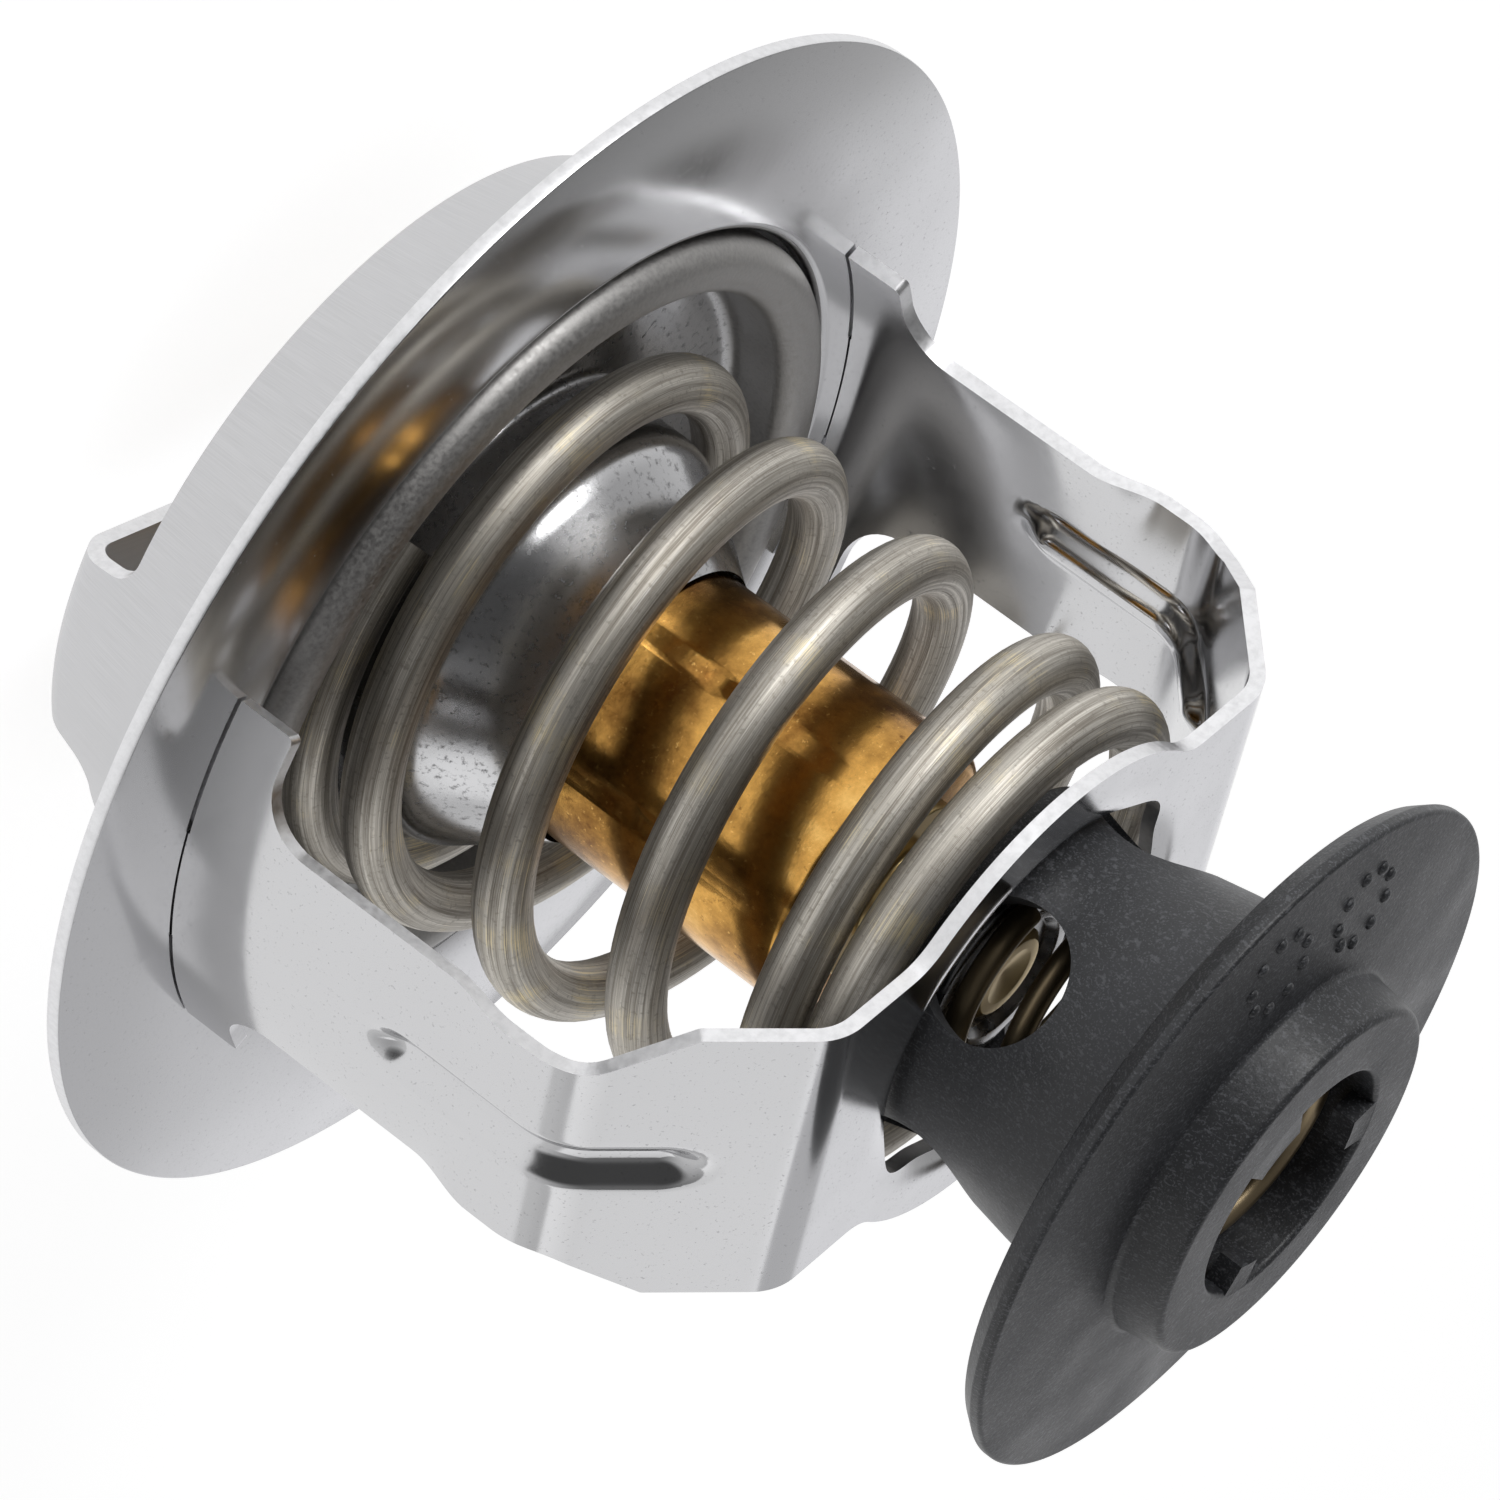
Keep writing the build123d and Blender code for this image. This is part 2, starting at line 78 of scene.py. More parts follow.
# Faces that meet at a smaller angle are shaded smooth.
SMOOTH_ANGLE = math.radians(32)
# Room between two pieces that are pressed together.
FIT = 0.02 * MM
# How far a cutting tool reaches past the piece.
BEYOND = 5 * MM
# Middle and half width of each inward lug of the bypass valve, in degrees.
LUGS = ((-60, 17), (68, 9), (175, 11))
# Where the rings of dots stand on the bypass valve's disc, in degrees.
DOT_RINGS = (-110, -82)
# Sky from low to high: sine of the elevation, and grey level.
SKY = ((0.1, 0.74), (0.8, 0.18))
# Round cards in the sky: middle as azimuth and elevation, outer and inner edge in degrees, colour.
CARDS = (
    ((127, 6), (21, 16), (0.95, 0.95, 0.97)),
    ((103, 36), (27, 18), (0.62, 0.62, 0.63)),
    ((131, 28.5), (7.5, 4), (0.04, 0.035, 0.03)),
    ((-51, 22), (48, 30), (0.07, 0.07, 0.07)),
)
# Soft boxes: azimuth and elevation in degrees, distance and width in metres, brightness in a mirror.
LAMPS = {
    "key": (-104, 16, 0.7, 0.34, 5.2),
    "side": (56, 34, 0.8, 0.5, 0.6),
}


def size(name, millimetres, description):
    """A length that the user can change, given in millimetres."""
    return FloatProperty(
        name=name, description=description, default=millimetres * MM, unit="LENGTH", precision=5
    )


def tint(name, colour, description):
    """A colour that the user can change."""
    return FloatVectorProperty(
        name=name, description=description, default=colour, subtype="COLOR", size=3, min=0, max=1
    )


def turn(name, degrees, description):
    """An angle that the user can change, given in degrees."""
    return FloatProperty(
        name=name, description=description, default=math.radians(degrees), subtype="ANGLE"
    )


def number(name, value, description):
    """A plain number that the user can change."""
    return FloatProperty(name=name, description=description, default=value)


def count(name, value, description):
    """A number of like things that the user can change."""
    return IntProperty(name=name, description=description, default=value, min=1)


class SheetSizes(PropertyGroup):
    sheet: size("Sheet", 0.8, "Thickness of the pressed steel")
    flange_radius: size("Flange radius", 33.5, "Outer radius of the flange")
    rim_round: size("Rim round", 0.12, "Rounding of the flange's outer edges")
    throat_radius: size("Throat radius", 22.65, "Radius of the opening that the valve sits in")
    throat_depth: size("Throat depth", 1.2, "Depth of the throat above the seat")
    throat_bend: size("Throat bend", 0.6, "Bend from the flange into the throat")
    seat_edge: size("Seat edge", 0.25, "Bend from the throat into the seat")
    seat_bend: size("Seat bend", 0.5, "Bend from the seat into the hat")
    seat_radius: size("Seat radius", 21.6, "Inner radius of the valve seat")
    seat_drop: size("Seat drop", 2.2, "How far the seat lies below the flange")
    hat_radius: size("Hat radius", 19.9, "Inner radius of the hat at its crown")
    hat_drop: size("Hat drop", 10.2, "How far the hat's crown lies below the flange")
    crown_bend: size("Crown bend", 2.0, "Bend from the hat's wall into its crown")
    bridge_turn: turn("Bridge turn", -5.0, "Turn of the bridge from the line through the frame's legs")
    shoulder_radius: size("Bridge shoulder radius", 19.1, "Inner radius at the bridge's shoulder")
    bridge_drop: size("Bridge drop", 13.5, "Depth of the bridge's flat top")
    bridge_bend: size("Bridge bend", 1.5, "Bend of the bridge's shoulder")
    bridge_foot: size("Bridge half width at foot", 6.2, "Half the bridge's width at the hat")
    bridge_half: size("Bridge half width", 5.3, "Half the bridge's width at its shoulder")
    side_run: size("Bridge side run", 0.5, "How far the bridge's side slants past its flat top")
    side_bend: size("Bridge side bend", 0.5, "Rounding where the bridge's side turns straight")
    bridge_root: size("Bridge root fillet", 1.7, "Fillet between bridge and hat")
    waist_half: size("Waist half width", 3.7, "Half the bridge's width in its middle")
    waist_end: size("Waist end", 10.0, "Where the narrow middle ends")
    waist_inset: size("Waist inset", 1.3, "How far inside the shoulder the bridge begins to narrow")
    waist_fillet: size("Waist fillet", 8.0, "Rounding of the waist's corners")
    waist_drop: size("Waist drop", 1.3, "How far below the hat's rim the waist is cut")
    pin_radius: size("Pin radius", 2.0, "Radius of the piston pin")
    pin_cup: size("Pin cup depth", 2.2, "Depth of the bridge's cup for the pin")
    cup_bend: size("Pin cup bend", 0.6, "Bend from the bridge into the cup for the pin")
    cup_end_bend: size("Pin cup end bend", 0.3, "Rounding of the cup's end")
    pin_edge: size("Pin edge", 0.4, "Chamfer of the pin's ends")
    pin_inner_end: size("Pin inner end", -1.0, "Height of the pin's end inside the guide")
    slot_inner: size("Slot inner radius", 24.8, "Inner radius of a slot for the frame's tab")
    slot_outer: size("Slot outer radius", 25.8, "Outer radius of a slot for the frame's tab")
    slot_angle: turn("Slot half angle", 8.45, "Half the angle of a slot for the frame's tab")


class FrameSizes(PropertyGroup):
    sheet: size("Sheet", 0.8, "Thickness of the frame's steel")
    leg_x: size("Leg distance", 25.7, "From the axis to the leg's outer face")
    elbow_z: size("Elbow height", 23.4, "Height of the leg's elbow")
    elbow_bend: size("Elbow bend", 5.2, "Outer bend of the elbow")
    arm_drop: size("Arm run", 9.25, "How far the arm runs inwards")
    end_z: size("End face height", 31.9, "Height of the end face")
    end_bend: size("End bend", 3.4, "Outer bend between arm and end face")
    end_radius: size("End radius", 13.7, "Radius of the round end face")
    end_waist: size("End half width", 9.3, "Half the width of the end face's arms")
    end_fillet: size("End fillet", 3.0, "Fillet between the round end and its arms")
    arm_half: size("Arm half width", 9.3, "Half the width of the sloping arm")
    arm_corner_z: size("Arm corner height", 27.4, "Height where the arm reaches its full width")
    arm_corner: size("Arm corner round", 0.3, "Rounding of the arm's outer corner")
    arm_foot: size("Arm foot", 0.5, "Height above the elbow where the arm is as wide as the leg")
    arm_fillet: size("Arm fillet", 4.0, "Fillet where the arm widens")
    leg_half: size("Leg half width", 6.5, "Half the leg's width")
    flat_z: size("Flat height", 19.6, "Height above which the leg is flat")
    round_z: size("Round height", 15.5, "Height below which the leg is round")
    foot_height: size("Foot height", 3.4, "Height of the foot's edge")
    foot_gap: size("Foot gap", 0.12, "Gap under a foot beside its tab")
    foot_fillet: size("Foot fillet", 3.0, "Fillet between foot and leg")
    foot_corner: size("Foot corner round", 0.4, "Rounding of the foot's upper corner")
    foot_angle: turn("Foot half angle", 26.0, "Half the angle of a foot")
    hole_radius: size("Hole radius", 10.1, "Radius of the hole in the end face")
    hole_dish: size("Hole dish", 0.35, "How far the hole's edge is dished")
    dish_width: size("Dish width", 1.6, "Width of the dished edge")
    lobe: size("Hole lobe", 0.9, "How far the hole's two scallops reach out")
    lobe_angle: turn("Hole lobe angle", 40.0, "Angle of the hole's first scallop")
    tab_angle: turn("Tab half angle", 8.2, "Half the angle of a tab")
    tab_reach: size("Tab reach", 1.4, "How far a tab is bent outwards behind the flange")
    rib_half: size("Rib half width", 1.35, "Half the rib's width")
    rib_depth: size("Rib depth", 0.95, "Depth of the rib")
    rib_taper: number("Rib taper", 0.6, "Width over length of the rib's ends")
    rib_start_z: size("Rib start", 14.5, "Height of the rib's lower end")
    rib_run: size("Rib run", 5.0, "How far the rib runs along the arm")


class ValveSizes(PropertyGroup):
    sheet: size("Sheet", 0.8, "Thickness of the valve's steel")
    radius: size("Valve radius", 22.3, "Outer radius of the rolled rim")
    lip_drop: size("Lip drop", 1.48, "How far the rim's lip lies below the flange")
    crest_z: size("Crest height", 0.9, "Height of the rolled rim")
    rim_bend: size("Rim bend", 1.35, "Bends of the rolled rim")
    pocket_radius: size("Pocket radius", 19.25, "Radius of the spring's pocket")
    floor_drop: size("Floor drop", 3.4, "Depth of the spring's pocket")
    pocket_bend: size("Pocket bend", 0.9, "Bends at the pocket's floor")
    hub_radius: size("Hub radius", 12.0, "Radius of the hub's wall")
    hub_shoulder_z: size("Hub shoulder height", 2.0, "Where the hub begins to slope")
    hub_bend: size("Hub bend", 3.0, "Rounding of the hub's shoulder")
    hub_hole: size("Hub hole", 7.85, "Radius of the hole for the element")
    hub_gap: size("Hub gap", 0.15, "How far the hub's top edge lies outside its hole")
    hub_edge: size("Hub edge", 1.1, "How far the hole's lower edge lies below the top")
    hub_top_z: size("Hub top height", 7.6, "Height of the hub's top edge")


class ElementSizes(PropertyGroup):
    radius: size("Cup radius", 7.75, "Outer radius of the wax cup")
    wall: size("Cup wall", 0.6, "Wall of the cup")
    end_z: size("Cup end height", 23.0, "Height of the cup's closed end")
    end_bend: size("Cup end bend", 1.0, "Rounding of the closed end")
    root_bend: size("Cup root bend", 0.4, "Bend from the cup's wall into its flange")
    flange_radius: size("Cup flange radius", 10.4, "Radius of the crimped flange")
    flange_z: size("Cup flange height", 3.356, "Top of the crimped flange")
    flange_bend: size("Cup flange bend", 0.85, "Bends of the crimped flange")
    crimp_z: size("Crimp height", -0.044, "Lowest point of the crimp")
    crimp_reach: size("Crimp reach", 1.5, "How far the crimp reaches inwards")
    mark_radius: size("Mark radius", 3.4, "Radius of the ball that makes a round stake mark")
    mark_depth: size("Mark depth", 0.15, "Depth of a round stake mark")
    mark_z: size("Mark height", 12.7, "Height of the ring of stake marks")
    marks: count("Marks", 6, "Number of stake marks")
    first_mark: turn("First mark", -75.0, "Angle of the first stake mark")
    guide_radius: size("Guide radius", 5.0, "Radius of the guide")
    guide_nose: size("Guide nose radius", 3.9, "Radius of the guide's nose")
    nose_round: size("Guide nose round", 0.3, "Rounding of the guide's nose and of its flange's root")
    taper_round: size("Guide taper round", 0.4, "Rounding where the guide's taper ends")
    guide_nose_z: size("Guide nose height", -12.4, "Height of the guide's nose")
    guide_taper: size("Guide taper", 3.5, "Length of the guide's taper")
    guide_flange_z: size("Guide flange height", 0.556, "Lower face of the guide's flange")
    guide_top_z: size("Guide top height", 2.156, "Upper face of the guide's flange")
    guide_flange: size("Guide flange radius", 9.53, "Radius of the guide's flange")
    guide_bore: size("Guide bore", 2.05, "Radius of the guide's bore")


class StudSizes(PropertyGroup):
    flange_radius: size("Stud flange radius", 5.0, "Radius of the stud's flange")
    flange: size("Stud flange thickness", 0.8, "Thickness of the stud's flange")
    base_z: size("Stud base height", 23.0, "Where the stud stands on the cup")
    flange_edge: size("Stud flange edge", 0.1, "Rounding of the stud's flange")
    neck_root: size("Stud neck root", 0.2, "Fillet between the flange and the neck")
    radius: size("Stud radius", 2.9, "Radius of the stud's neck")
    plate_z: size("Plate height", 29.95, "Lower face of the spring plate")
    plate: size("Plate thickness", 0.6, "Thickness of the spring plate")
    plate_radius: size("Plate radius", 6.0, "Outer radius of the spring plate")
    plate_under: size("Plate lower edge", 0.15, "Rounding of the plate's lower edge")
    plate_edge: size("Plate upper edge", 0.2, "Rounding of the plate's upper edge")
    ring_radius: size("Ring radius", 3.9, "Radius of the plate's raised ring")
    ring_height: size("Ring height", 0.55, "Height of the plate's raised ring")
    ring_half: size("Ring half width", 0.35, "Half the width of the raised ring")
    ring_root: size("Ring root", 0.1, "Fillet at the raised ring's foot")
    ring_edge: size("Ring edge", 0.15, "Rounding of the raised ring's crest")
    rivet_radius: size("Rivet radius", 2.2, "Radius of the riveted end")
    head_radius: size("Rivet head radius", 2.7, "Radius of the rivet's head")
    head: size("Rivet head height", 0.4, "Height of the rivet's head")
    head_edge: size("Rivet head edge", 0.05, "Rounding of the head's outer edge")
    crown: size("Rivet crown", 0.6, "Width of the head's raised ring")
    crown_edge: size("Rivet crown edge", 0.15, "Rounding of the head's raised ring")


class SpringSizes(PropertyGroup):
    wire: size("Main wire", 3.0, "Diameter of the main spring's wire")
    start_z: size("Main start", -1.88, "Height of the wire's middle on the valve")
    end_z: size("Main end", 29.58, "Height of the wire's middle at the end face")
    start_radius: size("Main radius at valve", 14.6, "Radius of the coil at the valve")
    end_radius: size("Main radius at end", 13.2, "Radius of the coil at the end face")
    closed_pitch: size("Main closed pitch", 3.1, "Pitch of the closed coils")
    closed_turns: number("Main closed turns", 1.0, "Closed turns at the valve")
    active_turns: number("Main active turns", 3.0, "Open turns of the main spring")
    end_turns: number("Main end turns", 1.15, "Closed turns at the end face")
    start_angle: turn("Main start angle", -50.0, "Where the wire begins")
    bypass_wire: size("Bypass wire", 1.3, "Diameter of the bypass spring's wire")
    bypass_start_z: size("Bypass start", 31.22, "Height of the wire's middle on the plate")
    bypass_end_z: size("Bypass end", 46.33, "Height of the wire's middle under the lugs")
    bypass_radius: size("Bypass radius", 5.3, "Radius of the bypass spring's coil")
    bypass_closed: size("Bypass closed pitch", 1.35, "Pitch of the closed coils")
    bypass_closed_turns: number("Bypass closed turns", 0.25, "Closed turns on the plate")
    bypass_active_turns: number("Bypass active turns", 4.0, "Open turns of the bypass spring")
    bypass_end_turns: number("Bypass end turns", 1.0, "Closed turns under the lugs")
    bypass_angle: turn("Bypass start angle", -86.0, "Where the bypass wire begins")


class BypassSizes(PropertyGroup):
    tube_radius: size("Tube radius", 9.3, "Outer radius of the tube")
    tube_start_z: size("Tube start", 28.2, "Height of the tube's end")
    edge: size("Plain edge", 0.3, "Rounding of the moulding's plain edges")
    collar: size("Collar", 1.7, "Thickness of the inner collar")
    collar_edge: size("Collar edge", 0.2, "Rounding of the collar's upper edge")
    collar_root: size("Collar root", 0.4, "Fillet between the collar and the bore")
    collar_radius: size("Collar radius", 3.0, "Radius of the collar's hole")
    bore: size("Bore", 7.0, "Radius of the tube's bore")
    straight_end_z: size("Straight end", 34.0, "Where the tube begins to flare")
    flare_start: size("Flare start bend", 14.0, "Bend where the tube begins to flare")
    flare_bend: size("Flare bend", 12.0, "Bend of the flare")
    flare_radius: size("Flare radius", 10.2, "Radius of the flare")
    flare_z: size("Flare height", 39.0, "Height of the flare's measured radius")
    root_bend: size("Disc root bend", 1.4, "Bend from the flare into the disc")
    root_radius: size("Disc root radius", 10.6, "Radius where the flare meets the disc")
    root_z: size("Disc root height", 42.9, "Height where the flare meets the disc")
    back_radius: size("Disc back radius", 18.2, "Radius of the disc's back edge")
    back_z: size("Disc back height", 43.3, "Height of the disc's back edge")
    radius: size("Disc radius", 18.9, "Radius of the sealing disc")
    rim: size("Disc rim", 0.6, "Height of the disc's rim")
    rim_under: size("Disc rim lower edge", 0.2, "Rounding of the rim's lower edge")
    rim_edge: size("Disc rim upper edge", 0.25, "Rounding of the rim's upper edge")
    edge_z: size("Disc edge height", 44.8, "Height of the disc's front edge")
    crown_z: size("Disc crown height", 45.5, "Height of the disc at the boss")
    boss_base: size("Boss base radius", 10.35, "Radius at the boss's foot")
    boss_radius: size("Boss radius", 9.9, "Radius of the boss's front")
    boss_root: size("Boss root", 0.4, "Fillet at the boss's foot")
    boss_edge: size("Boss edge", 0.45, "Rounding of the boss's front")
    front_z: size("Front height", 48.3, "Height of the boss's front")
    recess: size("Recess radius", 6.4, "Radius of the front hole")
    recess_z: size("Recess depth", 42.0, "Height where the front hole ends")
    recess_cone: size("Recess cone", 1.0, "Height of the cone from the front hole to the bore")
    windows: count("Windows", 4, "Number of windows")
    window_radius: size("Window radius", 3.65, "Radius of the tube's windows")
    window_z: size("Window height", 33.1, "Height of the windows' centres")
    first_window: turn("First window", -50.0, "Angle of the first window")
    dots: count("Dots", 9, "Number of dots in a ring")
    dot: size("Dot radius", 0.38, "Radius of a raised dot on the disc")
    dot_height: number("Dot height", 0.6, "Height over radius of a dot")
    dot_ring: size("Dot ring", 2.1, "Radius of a ring of dots")
    dot_place: size("Dot place", 14.4, "Distance of the dot rings from the axis")
    lug: size("Lug thickness", 1.3, "Thickness of the inward lugs")
    lug_tip: size("Lug tip radius", 4.9, "Radius that the lugs reach")
    lug_root: size("Lug root", 0.3, "How far the lugs reach into the wall")


class Finishes(PropertyGroup):
    steel: tint("Stainless steel", (0.60, 0.60, 0.61), "Polished sheet")
    blasted: tint("Blasted steel", (0.42, 0.41, 0.40), "The valve's rolled rim")
    wire: tint("Spring wire", (0.66, 0.625, 0.56), "Main spring")
    copper: tint("Wax cup", (0.66, 0.36, 0.09), "Tarnished cup of the element")
    brass: tint("Turned brass", (0.74, 0.56, 0.27), "Guide and stud")
    plastic: tint("Moulded plastic", (0.026, 0.027, 0.030), "Bypass valve")
    bronze: tint("Bronze wire", (0.36, 0.27, 0.16), "Bypass spring")


class StudioSizes(PropertyGroup):
    camera_place: FloatVectorProperty(
        name="Camera", description="Where the camera stands", subtype="TRANSLATION",
        default=(227.26 * MM, -279.11 * MM, 142.99 * MM), unit="LENGTH",
    )
    camera_target: FloatVectorProperty(
        name="Target", description="The point in the middle of the picture", subtype="TRANSLATION",
        default=(-3.77 * MM, 2.34 * MM, 11.92 * MM), unit="LENGTH",
    )
    camera_roll: turn("Camera roll", -126.194, "Turn of the camera about its own view")
    lens: number("Lens", 188.26, "Focal length in millimetres")
    sensor: number("Sensor", 36.0, "Width of the sensor in millimetres")
    floor_size: size("Floor size", 8000.0, "Length of the floor's sides")
    floor_gap: size("Floor gap", 0.6, "Room between the bridge and the floor")
    floor_tone: number("Floor tone", 0.42, "Grey level that takes light and shadow")
    floor_glow: number("Floor glow", 0.84, "Brightness of its own that a camera or a mirror sees")


def settings(context):
    """The thermostat's sizes, colours and studio."""
    return context.scene.thermostat


# Modelling helpers


def start(kind, **options):
    """Adds a primitive with nothing else selected and returns it."""
    bpy.ops.object.select_all(action="DESELECT")
    getattr(bpy.ops.mesh, f"primitive_{kind}_add")(**options)
    return bpy.context.object


def pick(piece, *others):
    """Selects a piece, and others with it, and makes it the active one."""
    bpy.ops.object.select_all(action="DESELECT")
    for each in (piece, *others):
        each.select_set(True)
    bpy.context.view_layer.objects.active = piece


def edit(piece):
    """Opens one piece in edit mode."""
    pick(piece)
    bpy.ops.object.mode_set(mode="EDIT")


def done():
    """Closes edit mode."""
    bpy.ops.object.mode_set(mode="OBJECT")


def face_outwards():
    """Points every face of the piece in edit mode outwards."""
    bpy.ops.mesh.select_all(action="SELECT")
    bpy.ops.mesh.normals_make_consistent(inside=False)


def seal(piece):
    """Welds seams and points every face outwards."""
    edit(piece)
    bpy.ops.mesh.select_all(action="SELECT")
    bpy.ops.mesh.remove_doubles(threshold=WELD)
    bpy.ops.mesh.dissolve_degenerate(threshold=WELD)
    face_outwards()
    done()


def smooth(piece):
    """Shades a piece smooth, apart from its sharp edges."""
    pick(piece)
    bpy.ops.object.shade_smooth_by_angle(angle=SMOOTH_ANGLE)


def settle(piece):
    """Moves a piece's place and turn into its mesh."""
    pick(piece)
    bpy.ops.object.transform_apply(location=True, rotation=True, scale=True)


def modify(piece, kind, **options):
    """Adds a modifier, sets it and applies it."""
    bpy.context.view_layer.objects.active = piece
    modifier = piece.modifiers.new(kind.title(), kind)
    for name, value in options.items():
        setattr(modifier, name, value)
    bpy.ops.object.modifier_apply(modifier=modifier.name)


def combine(piece, tool, operation):
    """Joins, cuts or intersects a piece with a tool, whose material marks the new faces."""
    modify(piece, "BOOLEAN", object=tool, operation=operation, solver="EXACT", material_mode="TRANSFER")
    bpy.data.objects.remove(tool)


def join(piece, *others):
    """Joins other pieces' meshes into a piece."""
    pick(piece, *others)
    bpy.ops.object.join()


def rounded(corners, step=ARC_STEP):
    """Outline through corners, each a place and, where it has one, the radius of its bend."""
    places = [Vector(corner[:2]) for corner in corners]
    points = [places[0]]
    for index, corner in enumerate(places[1:-1], start=1):
        bend = corners[index][2] if len(corners[index]) > 2 else 0
        inward = (places[index - 1] - corner).normalized()
        onward = (places[index + 1] - corner).normalized()
        opening = inward.angle(onward)
        if bend <= 0 or opening > math.pi - 1e-4:
            points.append(corner)
            continue
        tangent = bend / math.tan(opening / 2)
        middle = corner + (inward + onward).normalized() * (bend / math.sin(opening / 2))
        first = corner + inward * tangent - middle
        last = corner + onward * tangent - middle
        sweep = first.angle(last)
        parts = max(2, math.ceil(sweep / step))
        for part in range(parts + 1):
            share = part / parts
            a = math.sin((1 - share) * sweep) / math.sin(sweep)
            b = math.sin(share * sweep) / math.sin(sweep)
            points.append(middle + first * a + last * b)
    points.append(places[-1])
    return points


def arc(middle, radius, begin, finish, steps):
    """Points along an arc, its two ends among them."""
    points = []
    for index in range(steps + 1):
        angle = begin + (finish - begin) * index / steps
        points.append(Vector((middle[0] + radius * math.cos(angle), middle[1] + radius * math.sin(angle))))
    return points


def spaced(*runs):
    """Places in metres from 0 on, through runs given by their end and spacing in millimetres."""
    places, low = [0], 0
    for high, step in runs:
        parts = max(1, math.ceil((high - low) / step))
        places += [low + (high - low) * part / parts for part in range(1, parts + 1)]
        low = high
    return [place * MM for place in places]


def draw(name, points, closed=False, plane="XZ"):
    """Wire through points, drawn by extruding a single vertex along them."""
    piece = start("plane", size=MM)
    piece.name = name
    bpy.ops.object.mode_set(mode="EDIT")
    bpy.ops.mesh.merge(type="CENTER")
    lift = (lambda p: (p[0], 0, p[1])) if plane == "XZ" else (lambda p: (p[0], p[1], 0))
    bpy.ops.transform.translate(value=lift(points[0]))
    last = points[0]
    for point in points[1:]:
        step = lift(Vector(point) - Vector(last))
        bpy.ops.mesh.extrude_region_move(TRANSFORM_OT_translate={"value": step})
        last = point
    if closed:
        bpy.ops.mesh.select_all(action="SELECT")
        bpy.ops.mesh.remove_doubles(threshold=WELD)
    done()
    return piece


def lathe(name, points, closed=False, steps=FINE):
    """Turns an outline of radii and heights about Z."""
    piece = draw(name, points, closed)
    edit(piece)
    bpy.ops.mesh.select_all(action="SELECT")
    bpy.ops.mesh.spin(steps=steps, angle=TAU, center=(0, 0, 0), axis=(0, 0, 1))
    done()
    seal(piece)
    return piece


def sheet_section(corners, thickness):
    """Closed section of a bent sheet: its face, and the same line a thickness to the left."""
    face = rounded(corners)
    back = []
    for index, point in enumerate(face):
        before = face[max(index - 1, 0)]
        after = face[min(index + 1, len(face) - 1)]
        along_in = (point - before).normalized() if index else (after - point).normalized()
        along_out = (after - point).normalized() if index < len(face) - 1 else along_in
        normal_in = Vector((-along_in.y, along_in.x))
        normal_out = Vector((-along_out.y, along_out.x))
        middle = (normal_in + normal_out).normalized()
        back.append(point + middle * (thickness / max(0.2, middle.dot(normal_in))))
    return face + back[::-1]


def prism(name, points, low, high, plane="XY"):
    """Closed outline drawn flat and extruded from one height to another."""
    tool = draw(name, list(points) + [points[0]], closed=True, plane="XY")
    edit(tool)
    bpy.ops.mesh.select_all(action="SELECT")
    bpy.ops.transform.translate(value=(0, 0, low))
    bpy.ops.mesh.edge_face_add()
    bpy.ops.mesh.extrude_region_move(TRANSFORM_OT_translate={"value": (0, 0, high - low)})
    face_outwards()
    done()
    if plane == "YZ":
        tool.matrix_world = Matrix(((0, 0, 1, 0), (1, 0, 0, 0), (0, 1, 0, 0), (0, 0, 0, 1)))
        settle(tool)
    return tool


def ring_sector(name, inner, outer, low, high, middle, half_angle, steps=24):
    """Solid part of a ring about Z."""
    begin, finish = middle - half_angle, middle + half_angle
    outside = arc((0, 0), outer, begin, finish, steps)
    inside = arc((0, 0), inner, finish, begin, steps)
    return prism(name, outside + inside, low, high)


def paint(piece, *materials):
    """Gives a piece its material slots."""
    piece.data.materials.clear()
    for material in materials:
        piece.data.materials.append(material)


def repaint(piece, index, test):
    """Gives a material slot to the faces that pass a test of centre and normal."""
    for face in piece.data.polygons:
        if test(face.center, face.normal):
            face.material_index = index


def finish_piece(piece, body, node):
    """Lets a piece ride on its body and stand for its node, whose CAD part it hides."""
    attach(piece, body)
    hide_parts(node)


# Material helpers


